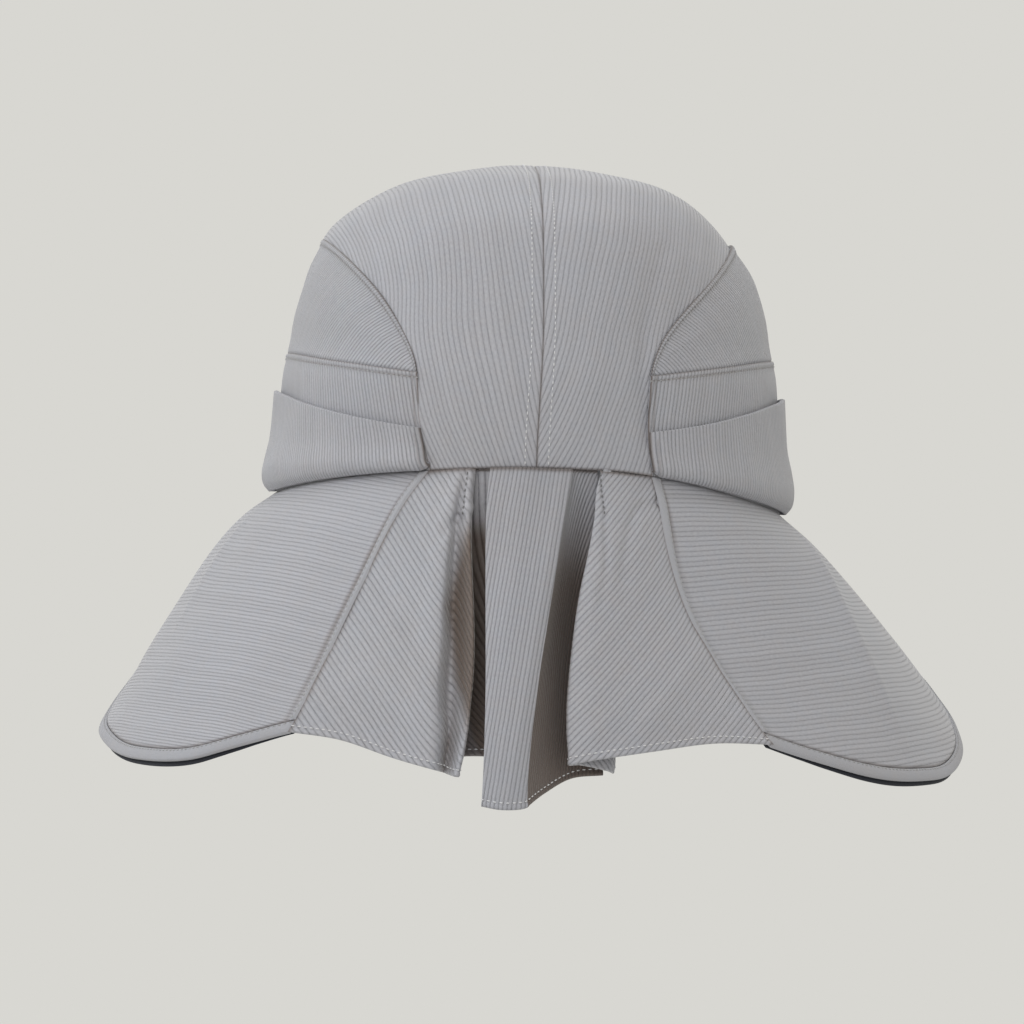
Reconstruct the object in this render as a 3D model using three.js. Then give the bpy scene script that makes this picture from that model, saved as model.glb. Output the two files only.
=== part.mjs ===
// A sun hat of ribbed cloth: a panelled crown, two folded side bands, a brim that slopes steeply
// down, and a pleated neck cape between the brim's two rear ends.
// Millimetres, +Z up, +Y towards the wearer's face, +X to the wearer's right.
// The origin is the centre of the head opening, level with the bottom seam at the sides.

import * as THREE from 'three';

// Crown sizes
const crownHalfWidth = 89.5;
const crownHalfLength = 101;
const crownHeight = 119.5;
const planFullness = 2.12; // 2 is an ellipse, more is squarer
const seamRiseBack = 10.5; // how far the bottom seam climbs from the side to the centre back
const seamRiseFront = 6;
const centrePanelHalfWidth = 40; // where the arch seam starts
const centrePanelFootHalfWidth = 37.7; // at the bottom seam
const archHeight = 92; // top of the half-moon side panel
const archFullness = 2.1; // more is flatter on top
const archRoundness = 0.66; // less is rounder towards the ends
const sideSeamHeight = 51; // horizontal seam at the side
const sideSeamEndHeight = 42.5; // horizontal seam where it meets the arch seam

// Side band sizes
const bandHeight = 38; // free top edge at the side
const bandEndHeight = 23.5; // free top edge at the rear and front seams
const bandBulge = 3.3; // how far the full foot of the band stands off the crown
const bandEndBulge = 1.5;
const bandEndLean = 0.55; // how far the band's ends follow the lean of the vertical seams

// Brim sizes
const brimHalfWidth = 154.5;
const brimBackReach = 128; // rear corner, behind the origin
const brimFrontReach = 176;
const brimDrop = 92; // lowest point of the edge below the origin
const brimBulge = 3.4;
const brimLean = 5; // the soft brim hangs askew: sideways shift of its edge
const leanFullAt = 0.714; // share of the slope where the shift is whole
const brimSkew = 0.027; // share that the brim drops more on the wearer's right, and less on the left
const seamBow = 2.8; // how far the rear seams bow towards the centre
const brimRootStep = 0.9; // how far the brim starts outside the crown's foot
const bindingWidth = 4.5;
const bindingEdge = 0.55; // thickness of the rolled binding at its two edges, as a share
const liningPeek = 1.6; // how far the lining shows past the binding at the rear sides
const liningStart = 0.02; // where the lining starts, as a share of the brim's slope
const weltWidth = 3.3;
const weltStart = 0.03; // where the welts start and end, as shares of the brim's slope
const weltEnd = 0.94;

// Cape sizes
const capeDrop = 100.5; // from the bottom seam to the hem of the gores
const capeStandOff = 9.8; // how far the hem hangs behind the brim's rear corners at the centre
const pleatDepth = 20; // how far the centre strip stands out at the hem
const pleatStack = 2.6; // how far it stands out where the pleats are sewn flat

// Cloth walls and clearances
const crownWall = 1.4;
const bandWall = 1.8;
const brimWall = 1.6;
const liningWall = 1.1;
const bindingWall = 2.3;
const weltWall = 1;
const capeWall = 1.2;
const seamGap = 0.4; // between pieces that are sewn edge to edge
const archGapShare = 0.8; // share of the seam gap that the centre panels leave at the arch seam
const layerGap = 0.35; // between pieces that lie face to face

// Numbers of facets
const archSteps = 16;
const panelSteps = 7;
const footSteps = 3;
const panelTip = 0.014; // share of the arch seam that the ends of the half-moon panel leave free
const sidePanelRows = 4;
const bandRows = 8;
const brimColumns = 44;
const brimRows = 7;
const liningRows = 5;
const bindingRows = 4;
const capeRows = 9;
const capeStepsPerFold = 4;

// Crown section from the top to the foot: reach is a share of the half width or half length,
// rise a share of the crown height.
const crownSection = [
  { reach: 0, rise: 1 },
  { reach: 0.28, rise: 0.979 },
  { reach: 0.54, rise: 0.929 },
  { reach: 0.752, rise: 0.828 },
  { reach: 0.853, rise: 0.72 },
  { reach: 0.911, rise: 0.603 },
  { reach: 0.957, rise: 0.465 },
  { reach: 1, rise: 0.331 },
  { reach: 1.008, rise: 0.16 },
  { reach: 1.008, rise: 0 },
];

// Side band section from foot to free edge: up is a share of the band height, off a share of its
// bulge, beyond the clearance that it keeps all over.
const bandSection = [
  { up: 0.02, off: 0.1 },
  { up: 0.09, off: 0.75 },
  { up: 0.2, off: 1 },
  { up: 0.34, off: 0.72 },
  { up: 0.52, off: 0.28 },
  { up: 0.8, off: 0.04 },
  { up: 1, off: 0 },
];

// Brim edge from the rear seam round to the centre front: turn is a share of the way round,
// side a share of the half width, ahead a share of the front reach or, where it is negative, of
// the back reach, drop a share of the brim drop, lean a share of the sideways shift towards the
// wearer's left, and bow a share of the bow of the rear seams. The wearer's right rear seam hangs
// less askew than the left one and bows more.
const brimEdge = [
  { turn: 0, side: 0.508, ahead: -1, drop: 0.86, lean: 1, bow: 1 },
  { turn: 0.104, side: 0.73, ahead: -0.855, drop: 0.965, lean: 0.6, bow: 0.5 },
  { turn: 0.232, side: 0.89, ahead: -0.6, drop: 1, lean: 0, bow: 0 },
  { turn: 0.328, side: 0.97, ahead: -0.345, drop: 0.975, lean: -0.4, bow: 0 },
  { turn: 0.424, side: 1, ahead: -0.05, drop: 0.905, lean: -0.5, bow: 0 },
  { turn: 0.552, side: 0.95, ahead: 0.25, drop: 0.74, lean: -0.4, bow: 0 },
  { turn: 0.68, side: 0.855, ahead: 0.555, drop: 0.59, lean: -0.2, bow: 0 },
  { turn: 0.808, side: 0.62, ahead: 0.82, drop: 0.49, lean: 0, bow: 0 },
  { turn: 1, side: 0, ahead: 1, drop: 0.415, lean: 0, bow: 0 },
];
const rightSeam = [
  { lean: 0.46, bow: 3.8 },
  { lean: 0.52, bow: 1.5 },
];

// Brim section from the bottom seam to the edge: along is a share of the way down, full a share
// of the brim bulge.
const brimSection = [
  { along: 0, full: 0 },
  { along: 0.14, full: 0.85 },
  { along: 0.3, full: 1 },
  { along: 0.65, full: 0.6 },
  { along: 1, full: 0 },
];

// How much of the lining peeks out along the brim's edge, against the same turn.
const liningShow = [
  { turn: 0, show: 0 },
  { turn: 0.08, show: 0.8 },
  { turn: 0.2, show: 1 },
  { turn: 0.34, show: 0.5 },
  { turn: 0.42, show: 0 },
  { turn: 1, show: 0 },
];

// Fold lines of the cape, from the wearer's left to right, each from the bottom seam to the hem.
// seam, mid and hem are sideways places as shares of the brim's rear seam at the same level.
// seamOut is a share of the pleat stack, midOut and hemOut shares of the pleat depth, all
// measured out from the plain hang of the cape. drop is a share of the cape drop.
const leftGoreFolds = [
  { seam: -0.92, mid: -0.85, hem: -0.8, seamOut: 0.1, midOut: 0.1, hemOut: 0.06, drop: 0.885 },
  { seam: -0.82, mid: -0.7, hem: -0.6, seamOut: 0.3, midOut: 0.26, hemOut: 0.22, drop: 0.945 },
  { seam: -0.73, mid: -0.56, hem: -0.44, seamOut: 0.62, midOut: 0.42, hemOut: 0.4, drop: 0.985 },
  { seam: -0.69, mid: -0.49, hem: -0.39, seamOut: 0.55, midOut: 0.12, hemOut: 0.12, drop: 1.0 },
  { seam: -0.64, mid: -0.41, hem: -0.345, seamOut: 0.62, midOut: 0.4, hemOut: 0.42, drop: 1.01 },
  { seam: -0.6, mid: -0.41, hem: -0.355, seamOut: 0.1, midOut: 0.05, hemOut: 0.1, drop: 0.995 },
  { seam: -0.6, mid: -0.47, hem: -0.41, seamOut: -0.65, midOut: -0.4, hemOut: -0.36, drop: 0.965 },
  { seam: -0.5, mid: -0.37, hem: -0.31, seamOut: -0.75, midOut: -0.5, hemOut: -0.5, drop: 0.955 },
  { seam: -0.34, mid: -0.21, hem: -0.16, seamOut: -0.75, midOut: -0.4, hemOut: -0.34, drop: 0.955 },
];
const centreStripFolds = [
  { seam: -0.47, mid: -0.315, hem: -0.25, seamOut: 0.85, midOut: 0.6, hemOut: 0.92, drop: 1.1 },
  { seam: -0.17, mid: -0.15, hem: -0.18, seamOut: 1, midOut: 0.74, hemOut: 1, drop: 1.11 },
  { seam: 0.18, mid: 0.011, hem: -0.1, seamOut: 1, midOut: 0.76, hemOut: 0.98, drop: 1.11 },
  { seam: 0.265, mid: 0.059, hem: -0.068, seamOut: 0.7, midOut: 0.66, hemOut: 0.86, drop: 1.105 },
  { seam: 0.28, mid: 0.109, hem: 0, seamOut: -0.1, midOut: 0.2, hemOut: 0.4, drop: 1.065 },
  { seam: 0.38, mid: 0.25, hem: 0.125, seamOut: -0.75, midOut: -0.26, hemOut: -0.12, drop: 1.02 },
  { seam: 0.5, mid: 0.391, hem: 0.261, seamOut: -0.75, midOut: -0.36, hemOut: -0.3, drop: 1.01 },
];
const rightGoreFolds = [
  { seam: 0.6, mid: 0.457, hem: 0.309, seamOut: -0.55, midOut: -0.24, hemOut: -0.18, drop: 1.0 },
  { seam: 0.6, mid: 0.429, hem: 0.28, seamOut: 0.1, midOut: -0.02, hemOut: 0.02, drop: 0.99 },
  { seam: 0.54, mid: 0.239, hem: 0.135, seamOut: 0.62, midOut: 0.28, hemOut: 0.3, drop: 0.97 },
  { seam: 0.53, mid: 0.179, hem: 0.087, seamOut: 1.2, midOut: 0.44, hemOut: 0.48, drop: 0.97 },
  { seam: 0.6, mid: 0.304, hem: 0.193, seamOut: 0.85, midOut: 0.5, hemOut: 0.52, drop: 0.955 },
  { seam: 0.75, mid: 0.598, hem: 0.463, seamOut: 0.5, midOut: 0.34, hemOut: 0.34, drop: 0.92 },
  { seam: 0.9, mid: 0.891, hem: 0.743, seamOut: 0.15, midOut: 0.12, hemOut: 0.1, drop: 0.885 },
];

// Small helpers

const degrees = Math.PI / 180;
const mix = (a, b, t) => a + (b - a) * t;

/** Reads a column of a table at a place along its key column, through a smooth curve. */
function readTable(table, key, column, at) {
  let i = 0;
  while (i < table.length - 2 && at > table[i + 1][key]) i += 1;
  const slope = (j) => {
    const before = table[Math.max(j - 1, 0)];
    const after = table[Math.min(j + 1, table.length - 1)];
    return (after[column] - before[column]) / (after[key] - before[key]);
  };
  const span = table[i + 1][key] - table[i][key];
  const t = THREE.MathUtils.clamp((at - table[i][key]) / span, 0, 1);
  const t2 = t * t;
  const t3 = t2 * t;
  return (2 * t3 - 3 * t2 + 1) * table[i][column]
    + (t3 - 2 * t2 + t) * span * slope(i)
    + (3 * t2 - 2 * t3) * table[i + 1][column]
    + (t3 - t2) * span * slope(i + 1);
}

/** The direction square to a surface, from two short steps along it. */
function normalAt(surface, u, v) {
  const step = 1e-3;
  const u0 = Math.max(u - step, 0);
  const u1 = Math.min(u + step, 1);
  const v0 = Math.max(v - step, 0);
  const v1 = Math.min(v + step, 1);
  const across = surface(u1, v).sub(surface(u0, v));
  const down = surface(u, v1).sub(surface(u, v0));
  return across.cross(down).normalize();
}

/**
 * A cloth wall over a surface: surface(u, v) gives the points, and outer and inner give how far
 * the two faces lie from it along its normal, as numbers or as functions of u and v.
 */
function clothWall(surface, us, vs, outer, inner) {
  const positions = [];
  const index = [];
  const outerAt = typeof outer === 'function' ? outer : () => outer;
  const innerAt = typeof inner === 'function' ? inner : () => inner;
  for (const offset of [outerAt, innerAt]) {
    for (const v of vs) {
      for (const u of us) {
        const point = surface(u, v);
        point.addScaledVector(normalAt(surface, u, v), offset(u, v));
        positions.push(point.x, point.y, point.z);
      }
    }
  }
  const columns = us.length;
  const rows = vs.length;
  const outside = (i, j) => j * columns + i;
  const inside = (i, j) => (rows + j) * columns + i;
  const quad = (a, b, c, d) => index.push(a, b, c, a, c, d);
  for (let j = 0; j < rows - 1; j += 1) {
    for (let i = 0; i < columns - 1; i += 1) {
      quad(outside(i, j), outside(i + 1, j), outside(i + 1, j + 1), outside(i, j + 1));
      quad(inside(i, j), inside(i, j + 1), inside(i + 1, j + 1), inside(i + 1, j));
    }
  }
  for (let i = 0; i < columns - 1; i += 1) {
    quad(inside(i, 0), inside(i + 1, 0), outside(i + 1, 0), outside(i, 0));
    quad(outside(i, rows - 1), outside(i + 1, rows - 1), inside(i + 1, rows - 1), inside(i, rows - 1));
  }
  for (let j = 0; j < rows - 1; j += 1) {
    quad(outside(0, j), outside(0, j + 1), inside(0, j + 1), inside(0, j));
    quad(inside(columns - 1, j), inside(columns - 1, j + 1), outside(columns - 1, j + 1), outside(columns - 1, j));
  }
  const geometry = new THREE.BufferGeometry();
  geometry.setAttribute('position', new THREE.Float32BufferAttribute(positions, 3));
  geometry.setIndex(index);
  return geometry;
}

/** The same wall on the wearer's other side. */
function mirrored(geometry) {
  const copy = geometry.clone();
  copy.scale(-1, 1, 1);
  const order = copy.index.array;
  for (let i = 0; i < order.length; i += 3) [order[i], order[i + 1]] = [order[i + 1], order[i]];
  return copy;
}

/** Evenly spaced shares from 0 to 1. */
function shares(steps) {
  return Array.from({ length: steps + 1 }, (_, i) => i / steps);
}

// Crown surface
// A turn is an angle round the crown from the centre back, towards the wearer's right. A reach
// down is the share of the way along the section from the top to the foot.

const sectionPoints = [
  ...crownSection.slice(1).reverse().map((row) => new THREE.Vector2(-row.reach, row.rise)),
  ...crownSection.map((row) => new THREE.Vector2(row.reach, row.rise)),
];
const sectionCurve = new THREE.SplineCurve(sectionPoints);
sectionCurve.arcLengthDivisions = 600;

const sectionAt = (down) => sectionCurve.getPointAt(0.5 + THREE.MathUtils.clamp(down, 0, 1) / 2);

/** The plan radius of the crown at its full width, in a given direction. */
function planRadius(turn) {
  const across = Math.abs(Math.sin(turn) / crownHalfWidth) ** planFullness;
  const along = Math.abs(Math.cos(turn) / crownHalfLength) ** planFullness;
  return (across + along) ** (-1 / planFullness);
}

/** How far down the section a height lies. */
function downAtHeight(height) {
  let low = 0;
  let high = 1;
  for (let i = 0; i < 40; i += 1) {
    const middle = (low + high) / 2;
    if (sectionAt(middle).y * crownHeight > height) low = middle;
    else high = middle;
  }
  return (low + high) / 2;
}

/** A point on the outer face of the crown. */
function crownPoint(turn, down, off = 0) {
  const section = sectionAt(down);
  const radius = planRadius(turn) * section.x + off;
  return new THREE.Vector3(radius * Math.sin(turn), -radius * Math.cos(turn), section.y * crownHeight);
}

/** The height of the bottom seam in a given direction. */
function bottomSeam(turn) {
  const rise = Math.cos(turn) > 0 ? seamRiseBack : seamRiseFront;
  return rise * Math.cos(turn) ** 2;
}

/** The turn at which the crown's wall, seen from behind, is a given distance from the centre. */
function turnAtWidth(halfWidth, height) {
  const reach = sectionAt(downAtHeight(height)).x;
  let low = 0;
  let high = 90 * degrees;
  for (let i = 0; i < 40; i += 1) {
    const middle = (low + high) / 2;
    if (planRadius(middle) * reach * Math.sin(middle) < halfWidth) low = middle;
    else high = middle;
  }
  return (low + high) / 2;
}

const archTurn = turnAtWidth(centrePanelHalfWidth, sideSeamEndHeight);
const footTurn = turnAtWidth(centrePanelFootHalfWidth, seamRiseBack);

/** The height of the horizontal side seam. */
function sideSeam(turn) {
  const toSide = (Math.abs(turn) - archTurn) / (90 * degrees - archTurn);
  const share = toSide > 1 ? 2 - toSide : toSide;
  return mix(sideSeamEndHeight, sideSeamHeight, Math.sin(THREE.MathUtils.clamp(share, 0, 1) * 90 * degrees));
}

/** The arch seam of the half-moon panel, from its rear end at 0 to its front end at 1. */
function archSeam(share) {
  const aside = Math.cos(share * 180 * degrees);
  const turn = 90 * degrees - aside * (90 * degrees - archTurn);
  const rise = (1 - Math.abs(aside) ** archFullness) ** archRoundness;
  return { turn, height: mix(sideSeam(turn), archHeight, rise) };
}

/** The vertical seam below the arch seam, from the bottom seam at 0 to the arch at 1. */
function footSeam(share) {
  const turn = mix(footTurn, archTurn, share);
  return { turn, height: mix(bottomSeam(turn), sideSeamEndHeight, share) };
}

/** The mirror image of a rear place at the front. */
const atFront = (place) => ({ turn: 180 * degrees - place.turn, height: place.height });

// Crown panels

/** The outer edge of a centre panel, from the back foot over the arch to the front foot. */
function panelEdge(row) {
  if (row <= footSteps) return footSeam(row / footSteps);
  if (row < footSteps + archSteps) return archSeam((row - footSteps) / archSteps);
  const front = atFront(footSeam((2 * footSteps + archSteps - row) / footSteps));
  const share = (2 * footSteps + archSteps - row) / footSteps;
  return { turn: front.turn, height: mix(bottomSeam(front.turn), sideSeamEndHeight, share) };
}

/** The wearer's right centre panel. */
function crownPanel() {
  const rows = 2 * footSteps + archSteps;
  const mapLength = sectionCurve.getLength() / 2 * crownHalfWidth;
  const gap = seamGap / 2 / mapLength;
  const surface = (u, v) => {
    const row = v * rows;
    const edge = panelEdge(row);
    const edgeDown = downAtHeight(edge.height);
    const edgeX = edgeDown * Math.sin(edge.turn);
    const edgeY = -edgeDown * Math.cos(edge.turn);
    const foot = v < 0.5 ? panelEdge(0) : panelEdge(rows);
    const footY = -downAtHeight(foot.height) * Math.cos(foot.turn);
    const middleDown = downAtHeight(bottomSeam(v < 0.5 ? 0 : 180 * degrees));
    const middleY = Math.sign(footY) * middleDown * (edgeY / footY);
    const share = mix(gap / edgeX, 1 - 2 * archGapShare * gap / edgeX, u);
    const x = share * edgeX;
    const y = mix(middleY, edgeY, share ** 2);
    const nearFoot = Math.min(Math.abs(middleY / middleDown), 1) ** 3;
    const straight = Math.hypot(x, y);
    const level = mix(Math.abs(middleY), edgeDown, share ** 2);
    const down = mix(straight, level, nearFoot);
    return crownPoint(Math.atan2(x, -y), down);
  };
  return clothWall(surface, shares(panelSteps), shares(rows), 0, -crownWall);
}

/** The arch seam along the straight facets between its steps. */
function archFacet(share) {
  const step = Math.min(Math.floor(share * archSteps), archSteps - 1);
  const start = archSeam(step / archSteps);
  const end = archSeam((step + 1) / archSteps);
  const part = share * archSteps - step;
  return { turn: mix(start.turn, end.turn, part), height: mix(start.height, end.height, part) };
}

/** The half-moon panel above the horizontal side seam, whose ends stop short of a point. */
function sidePanel() {
  const surface = (u, v) => {
    const arch = archFacet(u);
    const inward = Math.cos(u * 180 * degrees) * seamGap / crownHalfWidth;
    const turn = arch.turn + inward;
    const low = sideSeam(turn) + seamGap / 2;
    const high = arch.height - seamGap;
    return crownPoint(turn, downAtHeight(mix(low, high, v)));
  };
  const us = shares(archSteps);
  us[0] = panelTip;
  us[archSteps] = 1 - panelTip;
  return clothWall(surface, us, shares(sidePanelRows), 0, -crownWall);
}

/** The lower side piece, which goes down behind the band. */
function sideInset() {
  const surface = (u, v) => {
    const turn = insetTurn(u, v);
    const high = sideSeam(turn) - seamGap / 2;
    const low = bottomSeam(turn);
    return crownPoint(turn, downAtHeight(mix(low, high, v)));
  };
  return clothWall(surface, shares(archSteps), shares(footSteps), 0, -crownWall);
}

/** The turn of a column of the lower side pieces, at a share of the way up. */
function insetTurn(u, up) {
  const arch = archSeam(u).turn;
  const gap = seamGap / crownHalfWidth;
  const end = mix(footTurn, archTurn, up) + gap;
  const share = (arch - archTurn) / (180 * degrees - 2 * archTurn);
  return mix(end, 180 * degrees - end, share);
}

/** The folded band outside the lower side piece, with a free top edge and a full foot. */
function sideBand() {
  const surface = (u, v) => {
    const up = mix(bandSection[0].up, 1, v);
    const edge = Math.sin(insetTurn(u, bandEndLean)) ** 2;
    const ends = Math.cos(footTurn) ** 2;
    const middle = THREE.MathUtils.clamp((edge - 1 + ends) / ends, 0, 1);
    const turn = insetTurn(u, up * bandEndLean);
    const foot = bottomSeam(turn);
    const height = mix(foot, mix(bandEndHeight, bandHeight, middle), up);
    const bulge = mix(bandEndBulge, bandBulge, Math.sqrt(middle));
    const off = layerGap + bandWall + bulge * readTable(bandSection, 'up', 'off', up);
    return crownPoint(turn, downAtHeight(height), off);
  };
  return clothWall(surface, shares(archSteps), shares(bandRows), 0, -bandWall);
}

// Brim

const rightEdge = brimEdge.map((row, i) => ({ ...row, ...rightSeam[i] }));
const leftEdge = brimEdge.slice(0, -1).reverse().map((row) => ({
  ...row,
  turn: 2 - row.turn,
  side: -row.side,
}));
const brimTable = [...rightEdge, ...leftEdge].map((row) => ({
  ...row,
  drop: row.drop * (1 + brimSkew * row.side),
}));

/** A point on the outer face of the brim: turn runs from one rear seam at 0 to the other at 2. */
function brimPoint(turn, along) {
  const angle = mix(footTurn, 180 * degrees, turn);
  const rootRadius = planRadius(angle) * crownSection.at(-1).reach + brimRootStep;
  const root = new THREE.Vector3(
    rootRadius * Math.sin(angle),
    -rootRadius * Math.cos(angle),
    bottomSeam(angle) - seamGap,
  );
  const ahead = readTable(brimTable, 'turn', 'ahead', turn);
  const edge = new THREE.Vector3(
    readTable(brimTable, 'turn', 'side', turn) * brimHalfWidth,
    ahead * (ahead > 0 ? brimFrontReach : brimBackReach),
    -readTable(brimTable, 'turn', 'drop', turn) * brimDrop,
  );
  const slope = edge.clone().sub(root);
  const outward = new THREE.Vector3(slope.x, slope.y, 0).normalize();
  const lift = new THREE.Vector3(0, 0, 1).multiplyScalar(Math.hypot(slope.x, slope.y));
  lift.addScaledVector(outward, -slope.z).normalize();
  const full = readTable(brimSection, 'along', 'full', along) * brimBulge;
  const point = root.addScaledVector(slope, along).addScaledVector(lift, full);
  const lean = readTable(brimTable, 'turn', 'lean', turn) * brimLean;
  const bow = readTable(brimTable, 'turn', 'bow', turn) * seamBow;
  point.x -= lean * Math.sin(Math.min(along / leanFullAt, 1) * 90 * degrees);
  point.x -= Math.sign(1 - turn) * bow * Math.sin(along * 180 * degrees);
  return point;
}

/** The length of the brim from the bottom seam to its edge. */
function brimLength(turn) {
  return brimPoint(turn, 0).distanceTo(brimPoint(turn, 1));
}

const seamShare = seamGap / 2 / (Math.PI * brimHalfWidth);

/** A layer of the brim from rear seam to rear seam, between two shares of its length. */
function brimLayer(from, to, columns, rows, outer, inner) {
  const surface = (u, v) => {
    const turn = mix(seamShare, 2 - seamShare, u);
    return brimPoint(turn, mix(to(turn), from(turn), v));
  };
  return clothWall(surface, shares(columns), shares(rows), outer, inner);
}

/** The turn measured from the nearer rear seam. */
const foldedTurn = (turn) => Math.min(turn, 2 - turn);

function brimCloth() {
  const to = (turn) => 1 - (bindingWidth + layerGap) / brimLength(turn);
  return brimLayer(() => 0, to, brimColumns, brimRows, 0, -brimWall);
}

function brimLining() {
  const from = () => liningStart;
  const to = (turn) => {
    const peek = readTable(liningShow, 'turn', 'show', foldedTurn(turn)) * liningPeek;
    return 1 + (peek - layerGap) / brimLength(turn);
  };
  const under = (brimWall + bindingWall) / 2 + layerGap;
  return brimLayer(from, to, brimColumns, liningRows, -under, -under - liningWall);
}

function brimBinding() {
  const from = (turn) => 1 - bindingWidth / brimLength(turn);
  const roundness = (v) => mix(bindingEdge, 1, Math.sin(v * 180 * degrees)) * bindingWall / 2;
  const outer = (u, v) => roundness(v) - brimWall / 2;
  const inner = (u, v) => -roundness(v) - brimWall / 2;
  return brimLayer(from, () => 1, brimColumns, bindingRows, outer, inner);
}

/** The smooth strip that lies on the brim along a rear seam: side is 1 for the wearer's right. */
function brimWelt(side) {
  const surface = (u, v) => {
    const along = mix(weltEnd, weltStart, v);
    const width = weltWidth / (planRadius(footTurn) + along * brimBackReach) / (Math.PI - footTurn);
    const turn = mix(seamShare, width, u);
    return brimPoint(side > 0 ? turn : 2 - mix(width, seamShare, u), along);
  };
  return clothWall(surface, shares(2), shares(brimRows), layerGap + weltWall, layerGap);
}

// Cape

/** A rear seam of the brim, from the bottom seam at 0 to the brim's corner at 1. */
const rearSeam = (side, along) => brimPoint(side > 0 ? 0 : 2, along);

/** A point of a fold line of the cape, from the bottom seam at 0 to the hem at 1. */
function foldPoint(fold, along) {
  const curve = (a, b, c) => mix(mix(a, b, along), mix(b, c, along), along);
  const through = (a, b, c) => curve(a, 2 * b - (a + c) / 2, c);
  const share = through(fold.seam, fold.mid, fold.hem);
  const seam = rearSeam(share, along);
  const x = Math.abs(share) * seam.x;
  const out = through(
    fold.seamOut * pleatStack,
    fold.midOut * pleatDepth,
    fold.hemOut * pleatDepth,
  );
  const centre = mix(planRadius(0) * crownSection.at(-1).reach, brimBackReach + capeStandOff, along);
  const hang = mix(centre, -seam.y, Math.min(share ** 2, 1));
  const angle = Math.atan2(x, hang);
  const top = bottomSeam(Math.abs(angle)) - seamGap;
  return new THREE.Vector3(x, -hang - out, top - fold.drop * capeDrop * along);
}

/** A piece of the cape through its fold lines; side is the brim's rear seam that it joins, or 0. */
function capePiece(folds, side) {
  const pieces = folds.length - (side === 0 ? 1 : 0);
  const columns = pieces * capeStepsPerFold;
  const section = (along) => {
    const points = folds.map((fold) => foldPoint(fold, along));
    if (side !== 0) {
      const seam = rearSeam(side, along);
      const edge = new THREE.Vector3(seam.x - side * seamGap, seam.y - seamGap, seam.z);
      if (side < 0) points.unshift(edge);
      else points.push(edge);
    }
    return new THREE.CatmullRomCurve3(points, false, 'centripetal');
  };
  const surface = (u, v) => section(1 - v).getPoint(u);
  return clothWall(surface, shares(columns), shares(capeRows), capeWall / 2, -capeWall / 2);
}

// Assembly

const cloth = { color: 0x9c9ca2, roughness: 0.78, metalness: 0 };
const trim = { color: 0x94949a, roughness: 0.82, metalness: 0 };
const shade = { color: 0x24262e, roughness: 0.88, metalness: 0 };

const hat = new THREE.Group();
hat.name = 'sun_hat';

function addPiece(name, geometry, finish) {
  geometry.computeVertexNormals();
  const mesh = new THREE.Mesh(geometry, new THREE.MeshStandardMaterial(finish));
  mesh.name = name;
  hat.add(mesh);
}

const pairedPieces = [
  { name: 'crown_panel', make: crownPanel, finish: cloth },
  { name: 'side_panel', make: sidePanel, finish: cloth },
  { name: 'side_inset', make: sideInset, finish: cloth },
  { name: 'side_band', make: sideBand, finish: cloth },
];
for (const { name, make, finish } of pairedPieces) {
  const right = make();
  addPiece(`${name}_right`, right, finish);
  addPiece(`${name}_left`, mirrored(right), finish);
}
addPiece('brim_welt_right', brimWelt(1), trim);
addPiece('brim_welt_left', brimWelt(-1), trim);
addPiece('brim', brimCloth(), cloth);
addPiece('brim_lining', brimLining(), shade);
addPiece('brim_binding', brimBinding(), trim);
addPiece('cape_left', capePiece(leftGoreFolds, -1), cloth);
addPiece('cape_centre', capePiece(centreStripFolds, 0), cloth);
addPiece('cape_right', capePiece(rightGoreFolds, 1), cloth);

export default hat;
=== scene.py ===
import math

import bpy
import numpy as np
from mathutils import Matrix, Vector
from mathutils.bvhtree import BVHTree


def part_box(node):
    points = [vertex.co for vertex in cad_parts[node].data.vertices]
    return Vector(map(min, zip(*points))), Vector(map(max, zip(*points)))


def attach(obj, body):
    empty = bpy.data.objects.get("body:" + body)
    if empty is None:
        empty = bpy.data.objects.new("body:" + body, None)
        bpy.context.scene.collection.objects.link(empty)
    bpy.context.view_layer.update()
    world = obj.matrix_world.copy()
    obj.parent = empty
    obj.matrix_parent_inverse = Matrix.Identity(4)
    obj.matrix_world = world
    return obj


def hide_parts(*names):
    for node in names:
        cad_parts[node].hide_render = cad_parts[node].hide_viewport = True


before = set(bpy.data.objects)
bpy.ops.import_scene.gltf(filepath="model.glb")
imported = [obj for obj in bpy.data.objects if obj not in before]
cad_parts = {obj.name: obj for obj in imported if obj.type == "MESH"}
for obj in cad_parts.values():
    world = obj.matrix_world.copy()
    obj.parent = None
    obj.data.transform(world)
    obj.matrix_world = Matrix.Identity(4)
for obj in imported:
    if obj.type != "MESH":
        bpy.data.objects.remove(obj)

bl_info = {
    "name": "Sun Hat with Neck Cape",
    "version": (1, 0, 0),
    "blender": (4, 5, 0),
    "location": "View3D > Sidebar > Sun Hat",
    "description": "Sews a ribbed sun hat with side bands, a sloping brim and a pleated neck cape",
    "category": "Object",
}

# The hat's surfaces are worked out in millimetres and built in metres.
MM = 0.001
RAD = math.pi / 180
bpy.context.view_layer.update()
SEED = 11


def reach(node, corner, axis):
    """A corner of a solid's box, in millimetres: corner 0 is the lowest, 1 the highest."""
    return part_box(node)[corner][axis] / MM


def rows_of(columns, rows):
    """A table from its column names and its rows."""
    return [dict(zip(columns, row)) for row in rows]


# Crown sizes, from the frame where it shows them

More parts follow.
